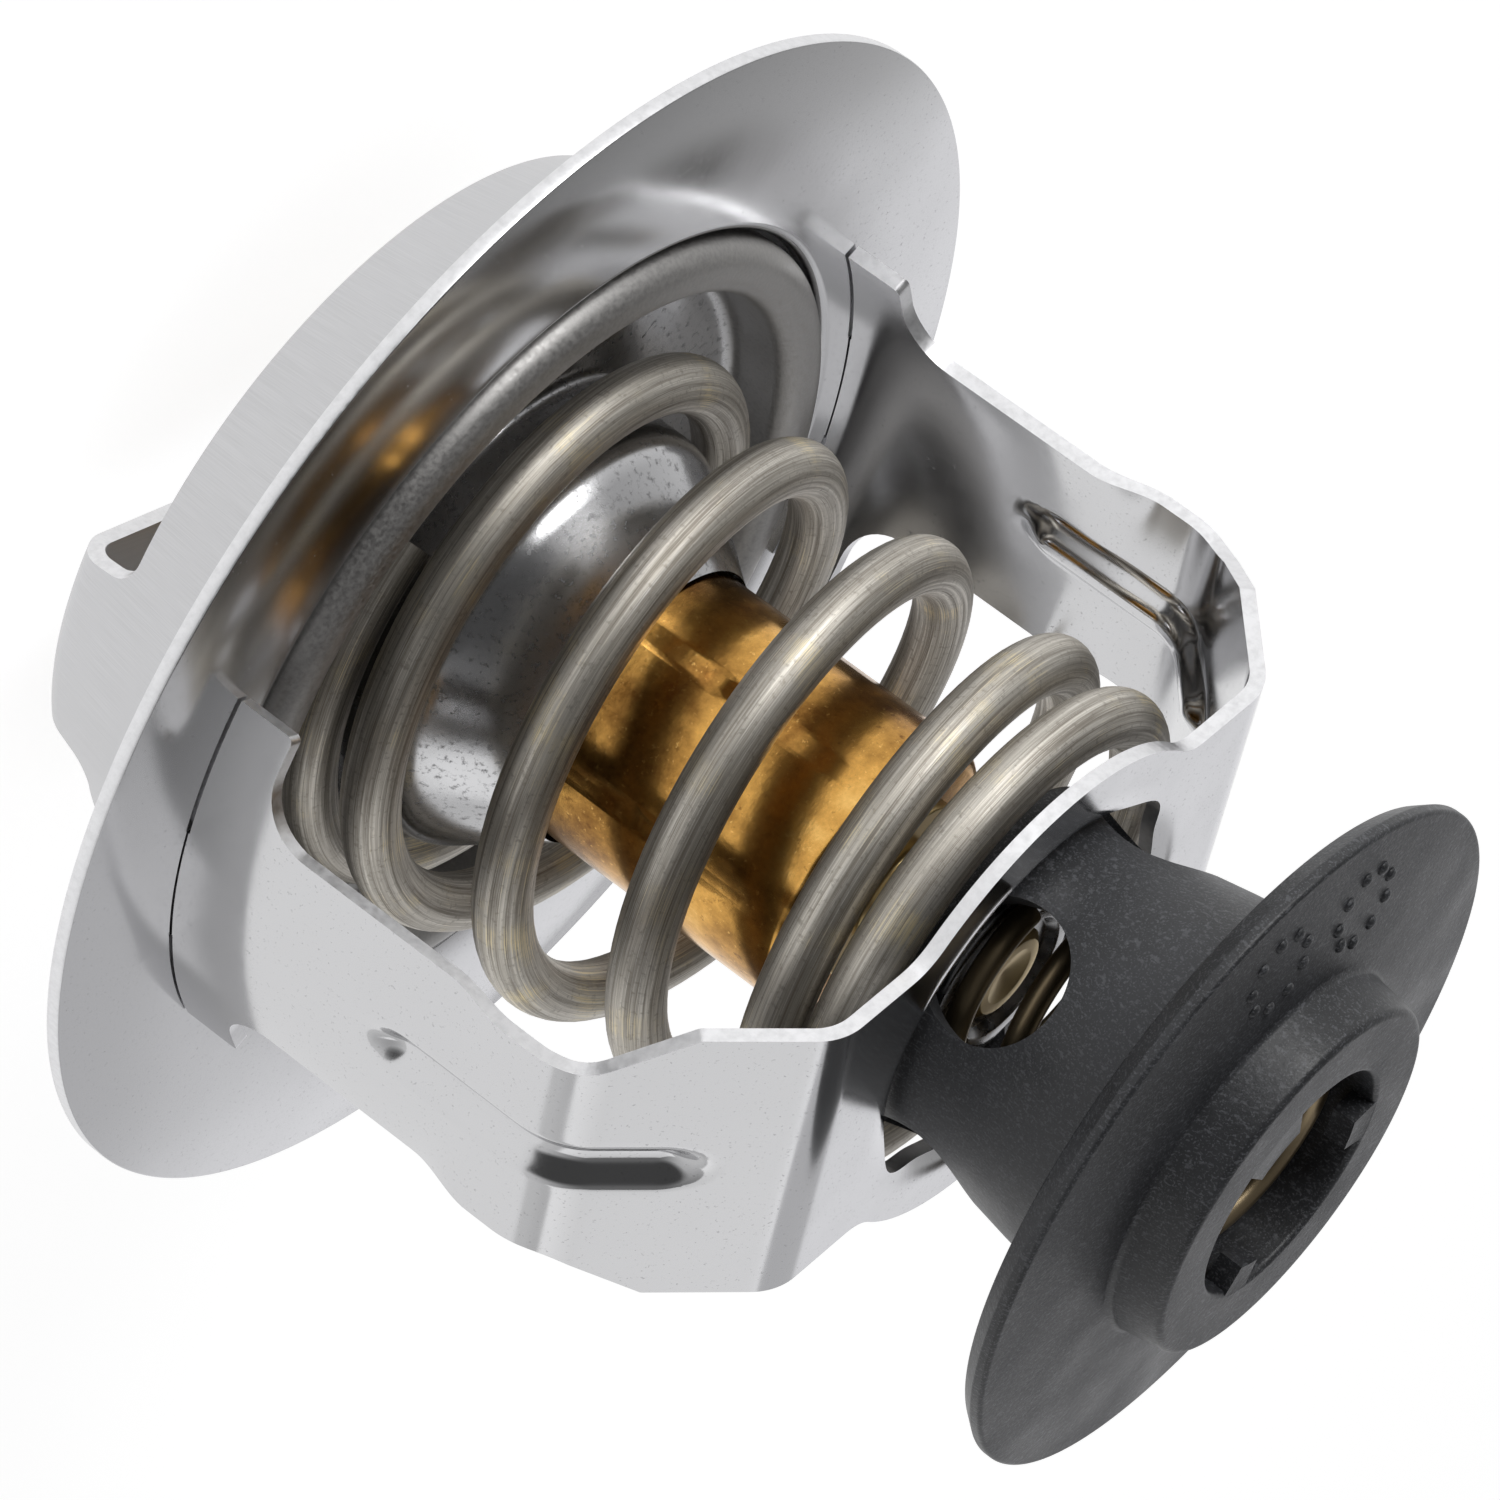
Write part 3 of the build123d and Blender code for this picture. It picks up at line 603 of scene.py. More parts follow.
class Paint:
    """A material's node tree, with short calls to add and join nodes."""

    def __init__(self, name, colour, metallic=0.0, roughness=0.5):
        found = bpy.data.materials.get(name)
        self.made = found is None
        self.material = found or bpy.data.materials.new(name)
        if not self.made:
            return
        self.material.use_nodes = True
        self.tree = self.material.node_tree
        self.shader = self.tree.nodes["Principled BSDF"]
        self.shader.inputs["Base Color"].default_value = (*colour, 1)
        self.shader.inputs["Metallic"].default_value = metallic
        self.shader.inputs["Roughness"].default_value = roughness
        self.place = self.add("TexCoord").outputs["Object"]

    def add(self, kind, link=None, **values):
        """Adds a node, with sockets to join and the values of its inputs and settings."""
        node = self.tree.nodes.new(f"ShaderNode{kind}")
        for key, value in values.items():
            if key in node.inputs:
                node.inputs[key].default_value = value
            else:
                setattr(node, key, value)
        for index, source in (link or {}).items():
            self.tree.links.new(source, node.inputs[index])
        return node

    def give(self, node, first, *values):
        """Fills a node's inputs from the first on, each with a number, a colour or a socket."""
        for index, value in enumerate(values, start=first):
            if isinstance(value, tuple):
                node.inputs[index].default_value = (*value, 1)
            elif isinstance(value, (int, float)):
                node.inputs[index].default_value = value
            else:
                self.tree.links.new(value, node.inputs[index])

    def math(self, operation, *values):
        """Result of a sum on numbers or sockets."""
        node = self.add("Math", operation=operation)
        self.give(node, 0, *values)
        return node.outputs[0]

    def range(self, value, low, high, to_low=0.0, to_high=1.0):
        """Stretches a value from one range to another and clamps it."""
        node = self.add("MapRange")
        self.give(node, 0, value, low, high, to_low, to_high)
        return node.outputs[0]

    def noise(self, scale, detail=3.0, roughness=0.5, place=None):
        """Noise on the piece's own coordinates, or on others."""
        node = self.add(
            "TexNoise", {"Vector": place or self.place}, Scale=scale, Detail=detail, Roughness=roughness
        )
        return node.outputs["Fac"]

    def stretched(self, scales, place=None):
        """Coordinates with a scale of their own along each axis."""
        node = self.add("Mapping", {"Vector": place or self.place}, Scale=scales)
        return node.outputs["Vector"]

    def polar(self):
        """Coordinates about Z: angle, radius in metres and height in metres."""
        x, y, z = self.add("SeparateXYZ", {0: self.place}).outputs
        angle = self.math("ARCTAN2", y, x)
        squares = self.math("ADD", self.math("MULTIPLY", x, x), self.math("MULTIPLY", y, y))
        return angle, self.math("SQRT", squares), z

    def plane(self, first, first_scale, second, second_scale):
        """Coordinates made of two values, each with its scale."""
        node = self.add("CombineXYZ")
        across = self.math("MULTIPLY", first, first_scale)
        along = self.math("MULTIPLY", second, second_scale)
        self.give(node, 0, across, 0.0, along)
        return node.outputs[0]

    def blend(self, share, a, b):
        """Mixes two colours, each a colour or a socket."""
        node = self.add("Mix", {0: share}, data_type="RGBA")
        self.give(node, 6, a, b)
        return node.outputs[2]

    def mix(self, share, a, b):
        """Mixes two numbers, each a number or a socket."""
        node = self.add("Mix", {0: share}, data_type="FLOAT")
        self.give(node, 2, a, b)
        return node.outputs[0]

    def bump(self, height, strength, distance):
        """Adds a bump over those that are there, its distance in metres."""
        node = self.add("Bump", {"Height": height}, Strength=strength, Distance=distance)
        normal = self.shader.inputs["Normal"]
        if normal.is_linked:
            self.tree.links.new(normal.links[0].from_socket, node.inputs["Normal"])
        self.tree.links.new(node.outputs[0], normal)

    def use(self, name, socket):
        """Joins a socket to one of the shader's inputs."""
        self.tree.links.new(socket, self.shader.inputs[name])


def shade(colour, factor):
    """A darker or lighter colour."""
    return tuple(min(1.0, channel * factor) for channel in colour)


def polished_sheet(finishes):
    """Mirror-like stainless sheet: faint cloudiness, rolling specks and hairline scratches."""
    colour = tuple(finishes.steel)
    coat = Paint("polished_sheet", colour, metallic=1.0, roughness=0.1)
    if coat.made:
        cloud = coat.noise(220, 4)
        specks = coat.noise(5200, 2, 0.6)
        dull = coat.range(specks, 0.62, 0.75, 0.0, 0.12)
        coat.use("Roughness", coat.math("ADD", coat.range(cloud, 0.3, 0.7, 0.10, 0.17), dull))
        coat.use("Base Color", coat.blend(coat.range(specks, 0.64, 0.72), colour, shade(colour, 0.78)))
        hairs = coat.noise(900, 2, 0.5, coat.stretched((1, 0.03, 0.6)))
        coat.bump(hairs, 0.06, 0.02 * MM)
        coat.bump(coat.noise(90, 2), 0.25, 0.05 * MM)
    return coat.material


def flange_sheet(finishes):
    """The housing's sheet: polished flange, with a satin hat drawn along Z."""
    colour = tuple(finishes.steel)
    coat = Paint("flange_sheet", colour, metallic=1.0, roughness=0.2)
    if coat.made:
        angle, _, height = coat.polar()
        drawn = coat.range(height, -0.9 * MM, -1.6 * MM)
        cloud = coat.noise(160, 4)
        specks = coat.noise(4200, 2, 0.6)
        rough_specks = coat.range(specks, 0.6, 0.75, 0.0, 0.12)
        flat = coat.math("ADD", coat.range(cloud, 0.3, 0.7, 0.14, 0.2), rough_specks)
        lines = coat.noise(1.0, 3, 0.65, coat.plane(angle, 330.0, height, 260.0))
        satin = coat.range(lines, 0.3, 0.75, 0.30, 0.42)
        coat.use("Roughness", coat.mix(drawn, flat, satin))
        light = coat.range(lines, 0.25, 0.75)
        dull = coat.blend(light, shade(colour, 0.88), shade(colour, 1.06))
        plain = coat.blend(coat.range(specks, 0.63, 0.72), colour, shade(colour, 0.8))
        coat.use("Base Color", coat.blend(drawn, plain, dull))
        grooves = coat.math("MULTIPLY", lines, drawn)
        coat.bump(grooves, 0.2, 0.02 * MM)
        coat.bump(coat.noise(70, 2), 0.3, 0.06 * MM)
    return coat.material


def sheared_edge(finishes):
    """Cut edge of the sheet: bright, grainy and a little torn."""
    colour = shade(tuple(finishes.steel), 1.33)
    coat = Paint("sheared_edge", colour, metallic=1.0, roughness=0.36)
    if coat.made:
        grain = coat.noise(2200, 4, 0.6)
        coat.use("Roughness", coat.range(grain, 0.3, 0.7, 0.3, 0.46))
        coat.use("Base Color", coat.blend(coat.range(grain, 0.3, 0.6), shade(colour, 0.86), colour))
        coat.bump(grain, 0.22, 0.02 * MM)
    return coat.material


def valve_finish(finishes):
    """Valve disc: blasted rim, smoother floor and a polished, speckled hub."""
    steel = tuple(finishes.steel)
    blasted = tuple(finishes.blasted)
    coat = Paint("valve_finish", blasted, metallic=1.0, roughness=0.4)
    if coat.made:
        radius = coat.polar()[1]
        rim = coat.range(radius, 18.6 * MM, 19.4 * MM)
        grain = coat.noise(4200, 3, 0.6)
        cloud = coat.noise(260, 4)
        specks = coat.noise(2600, 3, 0.7)
        rough_specks = coat.range(specks, 0.58, 0.72, 0.0, 0.2)
        hub_rough = coat.math("ADD", coat.range(cloud, 0.35, 0.65, 0.16, 0.26), rough_specks)
        coat.use("Roughness", coat.mix(rim, hub_rough, coat.range(grain, 0.3, 0.7, 0.38, 0.6)))
        rim_colour = coat.blend(coat.range(grain, 0.35, 0.65), shade(blasted, 0.84), shade(blasted, 1.1))
        hub_colour = coat.blend(coat.range(specks, 0.54, 0.68), steel, shade(steel, 0.5))
        coat.use("Base Color", coat.blend(rim, hub_colour, rim_colour))
        coat.bump(coat.math("MULTIPLY", grain, rim), 0.3, 0.03 * MM)
        coat.bump(specks, 0.12, 0.03 * MM)
    return coat.material


def spring_wire(finishes):
    """Drawn spring wire: streaks along its length, dull grey-brown, with painted yellowish glints in its
    colour.
    """
    colour = tuple(finishes.wire)
    coat = Paint("spring_wire", colour, metallic=1.0, roughness=0.4)
    if coat.made:
        along = coat.add("UVMap").outputs[0]
        streaks = coat.noise(1.0, 5, 0.7, coat.stretched((26, 34, 1), along))
        fine = coat.noise(1.0, 4, 0.75, coat.stretched((60, 150, 1), along))
        patches = coat.noise(260, 4)
        grain = coat.noise(3200, 3, 0.6)
        dark = (colour[0] * 0.42, colour[1] * 0.4, colour[2] * 0.38)
        pale = (0.84, 0.815, 0.76)
        painted_glint = (0.80, 0.69, 0.44)
        mixed = coat.blend(coat.range(streaks, 0.38, 0.66), dark, colour)
        mixed = coat.blend(coat.range(fine, 0.5, 0.72), mixed, pale)
        mixed = coat.blend(coat.range(grain, 0.56, 0.7, 0.0, 0.6), mixed, dark)
        # Painted glints: random yellowish spots in the colour stand in for glints of light.
        painted_glint_mask = coat.math("MULTIPLY", fine, patches)
        mixed = coat.blend(coat.range(painted_glint_mask, 0.31, 0.42), mixed, painted_glint)
        coat.use("Base Color", mixed)
        coat.use("Roughness", coat.range(streaks, 0.3, 0.7, 0.55, 0.4))
        coat.bump(grain, 0.3, 0.02 * MM)
        coat.bump(fine, 0.5, 0.03 * MM)
        coat.bump(streaks, 0.3, 0.05 * MM)
    return coat.material


def tarnished_cup_with_painted_light(finishes):
    """The wax cup: golden brown, with dark patches that are partly tarnish and partly painted dark
    reflection, painted orange highlights and turning marks.
    """
    colour = tuple(finishes.copper)
    coat = Paint("tarnished_cup_with_painted_light", colour, metallic=1.0, roughness=0.24)
    if coat.made:
        angle, _, height = coat.polar()
        rings = coat.noise(1.0, 4, 0.7, coat.plane(angle, 3.0, height, 2600.0))
        patches = coat.noise(150, 6, 0.7)
        spots = coat.noise(1500, 4, 0.65)
        grain = coat.noise(3400, 3, 0.6)
        # Dark colour: tarnish, and in the large patches also a painted dark reflection.
        dark = (colour[0] * 0.30, colour[1] * 0.24, colour[2] * 0.22)
        painted_orange_highlight = (0.90, 0.56, 0.18)
        # Dark patches, partly tarnish and partly painted dark reflection of the surroundings.
        mixed = coat.blend(coat.range(patches, 0.36, 0.60), dark, colour)
        # Painted orange highlight on the lightest patches, and further down on the fine grain as painted
        # sparkle.
        mixed = coat.blend(coat.range(patches, 0.60, 0.74), mixed, painted_orange_highlight)
        mixed = coat.blend(coat.range(spots, 0.62, 0.74), mixed, dark)
        mixed = coat.blend(coat.range(grain, 0.62, 0.74, 0.0, 0.7), mixed, painted_orange_highlight)
        coat.use("Base Color", mixed)
        coat.use("Roughness", coat.range(patches, 0.3, 0.7, 0.26, 0.12))
        coat.bump(rings, 0.12, 0.02 * MM)
        coat.bump(grain, 0.18, 0.02 * MM)
        coat.bump(coat.noise(420, 3), 0.35, 0.06 * MM)
    return coat.material


def turned_brass(finishes):
    """Turned brass of the guide and the stud."""
    colour = tuple(finishes.brass)
    coat = Paint("turned_brass", colour, metallic=1.0, roughness=0.28)
    if coat.made:
        _, radius, height = coat.polar()
        rings = coat.noise(1.0, 3, 0.6, coat.plane(radius, 4000.0, height, 4000.0))
        patches = coat.noise(500, 3)
        coat.use("Base Color", coat.blend(coat.range(patches, 0.35, 0.7), shade(colour, 0.6), colour))
        coat.use("Roughness", coat.range(rings, 0.3, 0.7, 0.2, 0.38))
        coat.bump(rings, 0.3, 0.02 * MM)
    return coat.material


def moulded_plastic(finishes):
    """Fibre-filled charcoal plastic: pale short fibres, a grained skin and soft scuffs."""
    colour = tuple(finishes.plastic)
    coat = Paint("moulded_plastic", colour, roughness=0.42)
    if coat.made:
        specks = coat.noise(9000, 2, 0.5)
        fibres = coat.noise(1.0, 2, 0.5, coat.stretched((2600, 8000, 2600)))
        cloud = coat.noise(170, 4, 0.6)
        pale = (0.16, 0.165, 0.18)
        scuff = shade(colour, 1.9)
        mixed = coat.blend(coat.range(cloud, 0.45, 0.75), colour, scuff)
        mixed = coat.blend(coat.range(specks, 0.56, 0.68, 0.0, 0.6), mixed, pale)
        mixed = coat.blend(coat.range(fibres, 0.58, 0.68, 0.0, 0.5), mixed, pale)
        coat.use("Base Color", mixed)
        coat.use("Roughness", coat.range(cloud, 0.3, 0.7, 0.36, 0.52))
        coat.bump(coat.noise(3000, 3, 0.6), 0.7, 0.04 * MM)
        coat.bump(coat.noise(260, 2), 0.25, 0.05 * MM)
    return coat.material


def bronze_wire(finishes):
    """Dark bronze wire of the bypass spring, streaked along its length."""
    colour = tuple(finishes.bronze)
    coat = Paint("bronze_wire", colour, metallic=1.0, roughness=0.34)
    if coat.made:
        along = coat.add("UVMap").outputs[0]
        streaks = coat.noise(1.0, 4, 0.7, coat.stretched((40, 24, 1), along))
        coat.use("Base Color", coat.blend(coat.range(streaks, 0.35, 0.65), shade(colour, 0.5), colour))
        coat.bump(streaks, 0.3, 0.02 * MM)
    return coat.material


def ground_steel(finishes):
    """Ground steel of the pin and the spring plate."""
    colour = shade(tuple(finishes.steel), 0.8)
    coat = Paint("ground_steel", colour, metallic=1.0, roughness=0.25)
    if coat.made:
        grain = coat.noise(1200, 3)
        coat.use("Roughness", coat.range(grain, 0.3, 0.7, 0.18, 0.34))
        coat.use("Base Color", coat.blend(coat.range(grain, 0.3, 0.6), shade(colour, 0.6), colour))
        coat.bump(grain, 0.2, 0.02 * MM)
    return coat.material


def hidden_finish(name, colour, roughness):
    """Plain but grained finish of a piece sealed inside the element."""
    coat = Paint(name, colour, roughness=roughness)
    if coat.made:
        grain = coat.noise(1500, 3)
        coat.use("Base Color", coat.blend(coat.range(grain, 0.35, 0.65), shade(colour, 0.7), colour))
        coat.bump(grain, 0.3, 0.03 * MM)
    return coat.material


# The pieces


class THERMOSTAT_OT_housing(Operator):
    """Flange, valve seat, satin hat and bridge, pressed from one sheet"""

    bl_idname = "thermostat.housing"
    bl_label = "Flange housing"

    def execute(self, context):
        s = settings(context).sheet
        bottom = -(s.bridge_drop + s.pin_cup)
        cup = s.pin_radius + FIT
        corners = [
            (s.flange_radius, 0),
            (s.throat_radius, 0, s.throat_bend),
            (s.throat_radius, -s.throat_depth, s.seat_edge),
            (s.seat_radius, -s.seat_drop, s.seat_bend),
            (s.hat_radius, -s.hat_drop, s.crown_bend),
            (s.shoulder_radius, -s.bridge_drop, s.bridge_bend),
            (cup, -s.bridge_drop, s.cup_bend),
            (cup, bottom, s.cup_end_bend),
            (0, bottom),
        ]
        piece = lathe("flange_hat", rounded_rim(sheet_section(corners, s.sheet), s))
        finishes = settings(context).finishes
        paint(piece, flange_sheet(finishes), sheared_edge(finishes))
        rim = s.flange_radius - 0.2 * MM
        repaint(piece, 1, lambda c, n: Vector((c.x, c.y)).length > rim and abs(n.z) < 0.9)
        for side in (1, -1):
            for tool in (self.window(s, side), self.waist(s, side)):
                tool.rotation_euler.z = s.bridge_turn
                settle(tool)
                paint(tool, sheared_edge(finishes))
                combine(piece, tool, "DIFFERENCE")
        for side in (0, math.pi):
            slot = ring_sector("slot", s.slot_inner, s.slot_outer, -2 * MM, MM, side, s.slot_angle)
            paint(slot, sheared_edge(finishes))
            combine(piece, slot, "DIFFERENCE")
        smooth(piece)
        finish_piece(piece, "housing", "flange_housing")
        return {"FINISHED"}

    def window(self, s, side):
        """Tool that cuts the crown away beside the bridge."""
        low = -(s.bridge_drop + s.pin_cup + BEYOND)
        wide = 2 * s.flange_radius
        corners = [
            (wide, -s.hat_drop),
            (s.bridge_foot, -s.hat_drop, s.bridge_root),
            (s.bridge_half, -s.bridge_drop - s.side_run, s.side_bend),
            (s.bridge_half, low),
        ]
        edge = rounded(corners) + [Vector((wide, low))]
        outline = [(side * point.x, point.y) for point in edge]
        return prism("window", outline, -s.flange_radius, s.flange_radius, plane="YZ")

    def waist(self, s, side):
        """Tool that narrows the bridge between its shoulders."""
        low = -(s.bridge_drop + s.pin_cup + BEYOND)
        wide = 2 * s.flange_radius
        start_x = s.shoulder_radius - s.waist_inset
        corners = [
            (start_x, s.bridge_half),
            (s.waist_end, s.waist_half, s.waist_fillet),
            (-s.waist_end, s.waist_half, s.waist_fillet),
            (-start_x, s.bridge_half),
        ]
        edge = rounded(corners) + [Vector((-start_x, wide)), Vector((start_x, wide))]
        outline = [(point.x, side * point.y) for point in edge]
        return prism("waist", outline, low, -s.hat_drop - s.waist_drop)


def rounded_rim(section, s):
    """Rounds the flange's outer corners of a sheet section that starts and ends at the rim."""
    r = s.rim_round
    cut = 0.3 * r
    top, under = section[0], section[-1]
    front = [Vector((top.x, top.y - r)), Vector((top.x - cut, top.y - cut)), Vector((top.x - r, top.y))]
    back = [
        Vector((under.x - r, under.y)),
        Vector((under.x - cut, under.y + cut)),
        Vector((under.x, under.y + r)),
        front[0],
    ]
    return front + list(section[1:-1]) + back


class THERMOSTAT_OT_pin(Operator):
    """Fixed piston pin in the bridge's cup"""

    bl_idname = "thermostat.pin"
    bl_label = "Piston pin"

    def execute(self, context):
        s = settings(context).sheet
        low = -(s.bridge_drop + s.pin_cup) + FIT
        edge = s.pin_edge
        outline = [
            (0, low),
            (s.pin_radius - edge, low),
            (s.pin_radius, low + edge),
            (s.pin_radius, s.pin_inner_end - edge),
            (s.pin_radius - edge, s.pin_inner_end),
            (0, s.pin_inner_end),
        ]
        piece = lathe("piston", outline, steps=64)
        paint(piece, ground_steel(settings(context).finishes))
        smooth(piece)
        finish_piece(piece, "housing", "piston_pin")
        return {"FINISHED"}


class THERMOSTAT_OT_frame(Operator):
    """Stamped frame: a flat blank is cut, ribbed and folded over its elbows"""

    bl_idname = "thermostat.frame"
    bl_label = "Lower frame"

    def execute(self, context):
        s = settings(context).frame
        finishes = settings(context).finishes
        self.measure(s)
        piece = self.blank(s)
        paint(piece, polished_sheet(finishes), sheared_edge(finishes))
        outline = prism("outline", self.outline(s), -s.sheet, 2 * s.sheet)
        hole = prism("hole", self.hole(s), -2 * s.sheet, 3 * s.sheet)
        combine(outline, hole, "DIFFERENCE")
        paint(outline, sheared_edge(finishes))
        combine(piece, outline, "INTERSECT")
        for vertex in piece.data.vertices:
            vertex.co = self.folded(s, vertex.co)
        piece.name = "frame_pressing"
        inner, low = s.leg_x - s.sheet, -2 * s.sheet
        overlap = 0.01 * MM
        for side in (0, math.pi):
            tab = ring_sector("tab", inner, s.leg_x, low, s.foot_gap + overlap, side, s.tab_angle)
            hook = ring_sector("hook", inner, s.leg_x + s.tab_reach, low, -s.sheet, side, s.tab_angle)
            combine(tab, hook, "UNION")
            paint(tab, polished_sheet(finishes), sheared_edge(finishes))
            join(piece, tab)
        smooth(piece)
        finish_piece(piece, "housing", "lower_frame")
        return {"FINISHED"}

    def measure(self, s):
        """The folded outer face from its middle on: each run's length, and its bend's radius."""
        slope = math.atan2(s.end_z - s.elbow_z, s.arm_drop)
        end_tangent = s.end_bend * math.tan(slope / 2)
        elbow_turn = math.pi / 2 - slope
        elbow_tangent = s.elbow_bend * math.tan(elbow_turn / 2)
        arm = math.hypot(s.end_z - s.elbow_z, s.arm_drop) - end_tangent - elbow_tangent
        self.runs = [
            (s.leg_x - s.arm_drop - end_tangent, 0),
            (s.end_bend * slope, s.end_bend),
            (arm, 0),
            (s.elbow_bend * elbow_turn, s.elbow_bend),
            (s.elbow_z - elbow_tangent, 0),
        ]
        self.length = sum(run[0] for run in self.runs)
        self.span = self.rib_span(s)

    def along(self, s, distance):
        """Place and outward normal on the folded outer face, at a distance from its middle."""
        place, heading = Vector((0, s.end_z)), 0.0
        for length, bend in self.runs:
            step = min(distance, length)
            if bend:
                turned = step / bend
                centre = place + bend * Vector((-math.sin(heading), -math.cos(heading)))
                heading += turned
                place = centre + bend * Vector((math.sin(heading), math.cos(heading)))
            else:
                place = place + step * Vector((math.cos(heading), -math.sin(heading)))
            distance -= step
            if distance <= 0:
                break
        return place, Vector((math.sin(heading), math.cos(heading)))

    def reach(self, s, height):
        """Distance along the blank at which the folded face comes down to a height."""
        low, high = self.runs[0][0], self.length
        for _ in range(40):
            middle = (low + high) / 2
            if self.along(s, middle)[0].y > height:
                low = middle
            else:
                high = middle
        return low

    def blank(self, s):
        """Flat slab, with lines close enough together where it is ribbed, dished or folded."""
        rib_first, rib_last = self.span
        bend = self.runs[0][0] + self.runs[1][0]
        elbow = bend + self.runs[2][0]
        lines = spaced(
            (9, 0.6),
            (12.2, 0.3),
            (self.runs[0][0] / MM, 0.5),
            (bend / MM, 0.25),
            ((rib_first - s.rib_half) / MM, 0.4),
            (rib_first / MM + 1, 0.16),
            (elbow / MM, 0.3),
            ((elbow + self.runs[3][0]) / MM, 0.26),
            (rib_last / MM - 1, 0.3),
            ((rib_last + s.rib_half) / MM, 0.16),
            (self.length / MM + 1, 0.6),
        )
        across = spaced((1.7, 0.15), (9, 0.45), (12.2, 0.4), (s.end_radius / MM + 0.5, 0.6))
        piece = start("grid", x_subdivisions=2 * len(lines) - 2, y_subdivisions=2 * len(across) - 2, size=2)
        for vertex in piece.data.vertices:
            column = round(abs(vertex.co.x) * (len(lines) - 1))
            row = round(abs(vertex.co.y) * (len(across) - 1))
            vertex.co.x = math.copysign(lines[column], vertex.co.x)
            vertex.co.y = math.copysign(across[row], vertex.co.y)
        edit(piece)
        bpy.ops.mesh.select_all(action="SELECT")
        bpy.ops.mesh.extrude_region_move(TRANSFORM_OT_translate={"value": (0, 0, s.sheet)})
        face_outwards()
        done()
        return piece

    def outline(self, s):
        """Cut edge of the blank: round end, waist, flare, leg and foot, all four quarters."""
        fillet_y = s.end_waist + s.end_fillet
        fillet_x = math.sqrt((s.end_radius + s.end_fillet) ** 2 - fillet_y**2)
        meet = math.atan2(fillet_y, fillet_x)
        rim = arc((0, 0), s.end_radius, math.pi / 2, meet, 40)
        rim += arc((fillet_x, fillet_y), s.end_fillet, math.pi + meet, 1.5 * math.pi, 8)[1:]
        corner = self.reach(s, s.arm_corner_z)
        elbow = self.reach(s, s.elbow_z + s.arm_foot)
        foot = self.length - s.foot_height
        foot_half = s.leg_x * s.foot_angle
        side = rounded([
            (fillet_x, s.end_waist),
            (corner, s.arm_half, s.arm_corner),
            (elbow, s.leg_half, s.arm_fillet),
            (foot, s.leg_half, s.foot_fillet),
            (foot, foot_half, s.foot_corner),
            (self.length - s.foot_gap, foot_half),
        ])
        quarter = rim + side[1:]
        upper = [Vector((-p.x, p.y)) for p in reversed(quarter[1:])] + quarter
        lower = [Vector((p.x, -p.y)) for p in reversed(upper)]
        return upper + lower

    def hole(self, s):
        """Edge of the end face's hole, with two shallow scallops."""
        points, steps, narrow = [], 160, 48
        for index in range(steps):
            angle = TAU * index / steps
            radius = s.hole_radius + s.lobe * math.cos(angle - s.lobe_angle) ** narrow
            points.append((radius * math.cos(angle), radius * math.sin(angle)))
        return points

    def folded(self, s, flat):
        """Where a point of the blank lies after ribbing and folding."""
        side = 1 if flat.x >= 0 else -1
        place, normal = self.along(s, abs(flat.x))
        depth = s.sheet - flat.z
        depth += self.rib(s, abs(flat.x), flat.y) + self.dish(s, flat)
        x = place.x - normal.x * depth
        z = place.y - normal.y * depth
        bent = 1 - min(1, max(0, (place.y - s.round_z) / (s.flat_z - s.round_z)))
        bent = bent * bent * (3 - 2 * bent)
        angle = flat.y / s.leg_x
        round_x, round_y = x * math.cos(angle), x * math.sin(angle)
        x = x + (round_x - x) * bent
        y = flat.y + (round_y - flat.y) * bent
        return Vector((side * x, y, z))

    def rib_span(self, s):
        """Distances along the blank between which the rib has its full depth."""
        return self.reach(s, s.elbow_z) - s.rib_run, self.reach(s, s.rib_start_z)

    def rib(self, s, distance, across):
        """Depth of the rib at a point of the blank."""
        first, last = self.span
        beyond = max(first - distance, distance - last, 0) * s.rib_taper
        away = math.hypot(beyond, across) / s.rib_half
        edge, slope = 1.2, 1.05
        share = min(1, max(0, (edge - away) / slope))
        return s.rib_depth * share * share * (3 - 2 * share)

    def dish(self, s, flat):
        """How far the hole's edge is pressed in."""
        away = (math.hypot(flat.x, flat.y) - s.hole_radius) / s.dish_width
        share = min(1, max(0, 1 - away))
        return s.hole_dish * share * share


class THERMOSTAT_OT_valve(Operator):
    """Main valve disc: rolled rim, spring pocket and domed hub"""

    bl_idname = "thermostat.valve"
    bl_label = "Valve disc"

    def execute(self, context):
        s = settings(context).valve
        corners = [
            (s.radius, -s.lip_drop),
            (s.radius, s.crest_z, s.rim_bend),
            (s.pocket_radius, s.crest_z, s.rim_bend),
            (s.pocket_radius, -s.floor_drop, s.pocket_bend),
            (s.hub_radius, -s.floor_drop, s.pocket_bend),
            (s.hub_radius, s.hub_shoulder_z, s.hub_bend),
            (s.hub_hole + s.hub_gap, s.hub_top_z),
        ]
        section = sheet_section(corners, s.sheet)
        section[len(section) // 2] = Vector((s.hub_hole, s.hub_top_z - s.hub_edge))
        piece = lathe("valve_pressing", section + [section[0]])
        paint(piece, valve_finish(settings(context).finishes))
        smooth(piece)
        finish_piece(piece, "valve", "valve_disc")
        return {"FINISHED"}


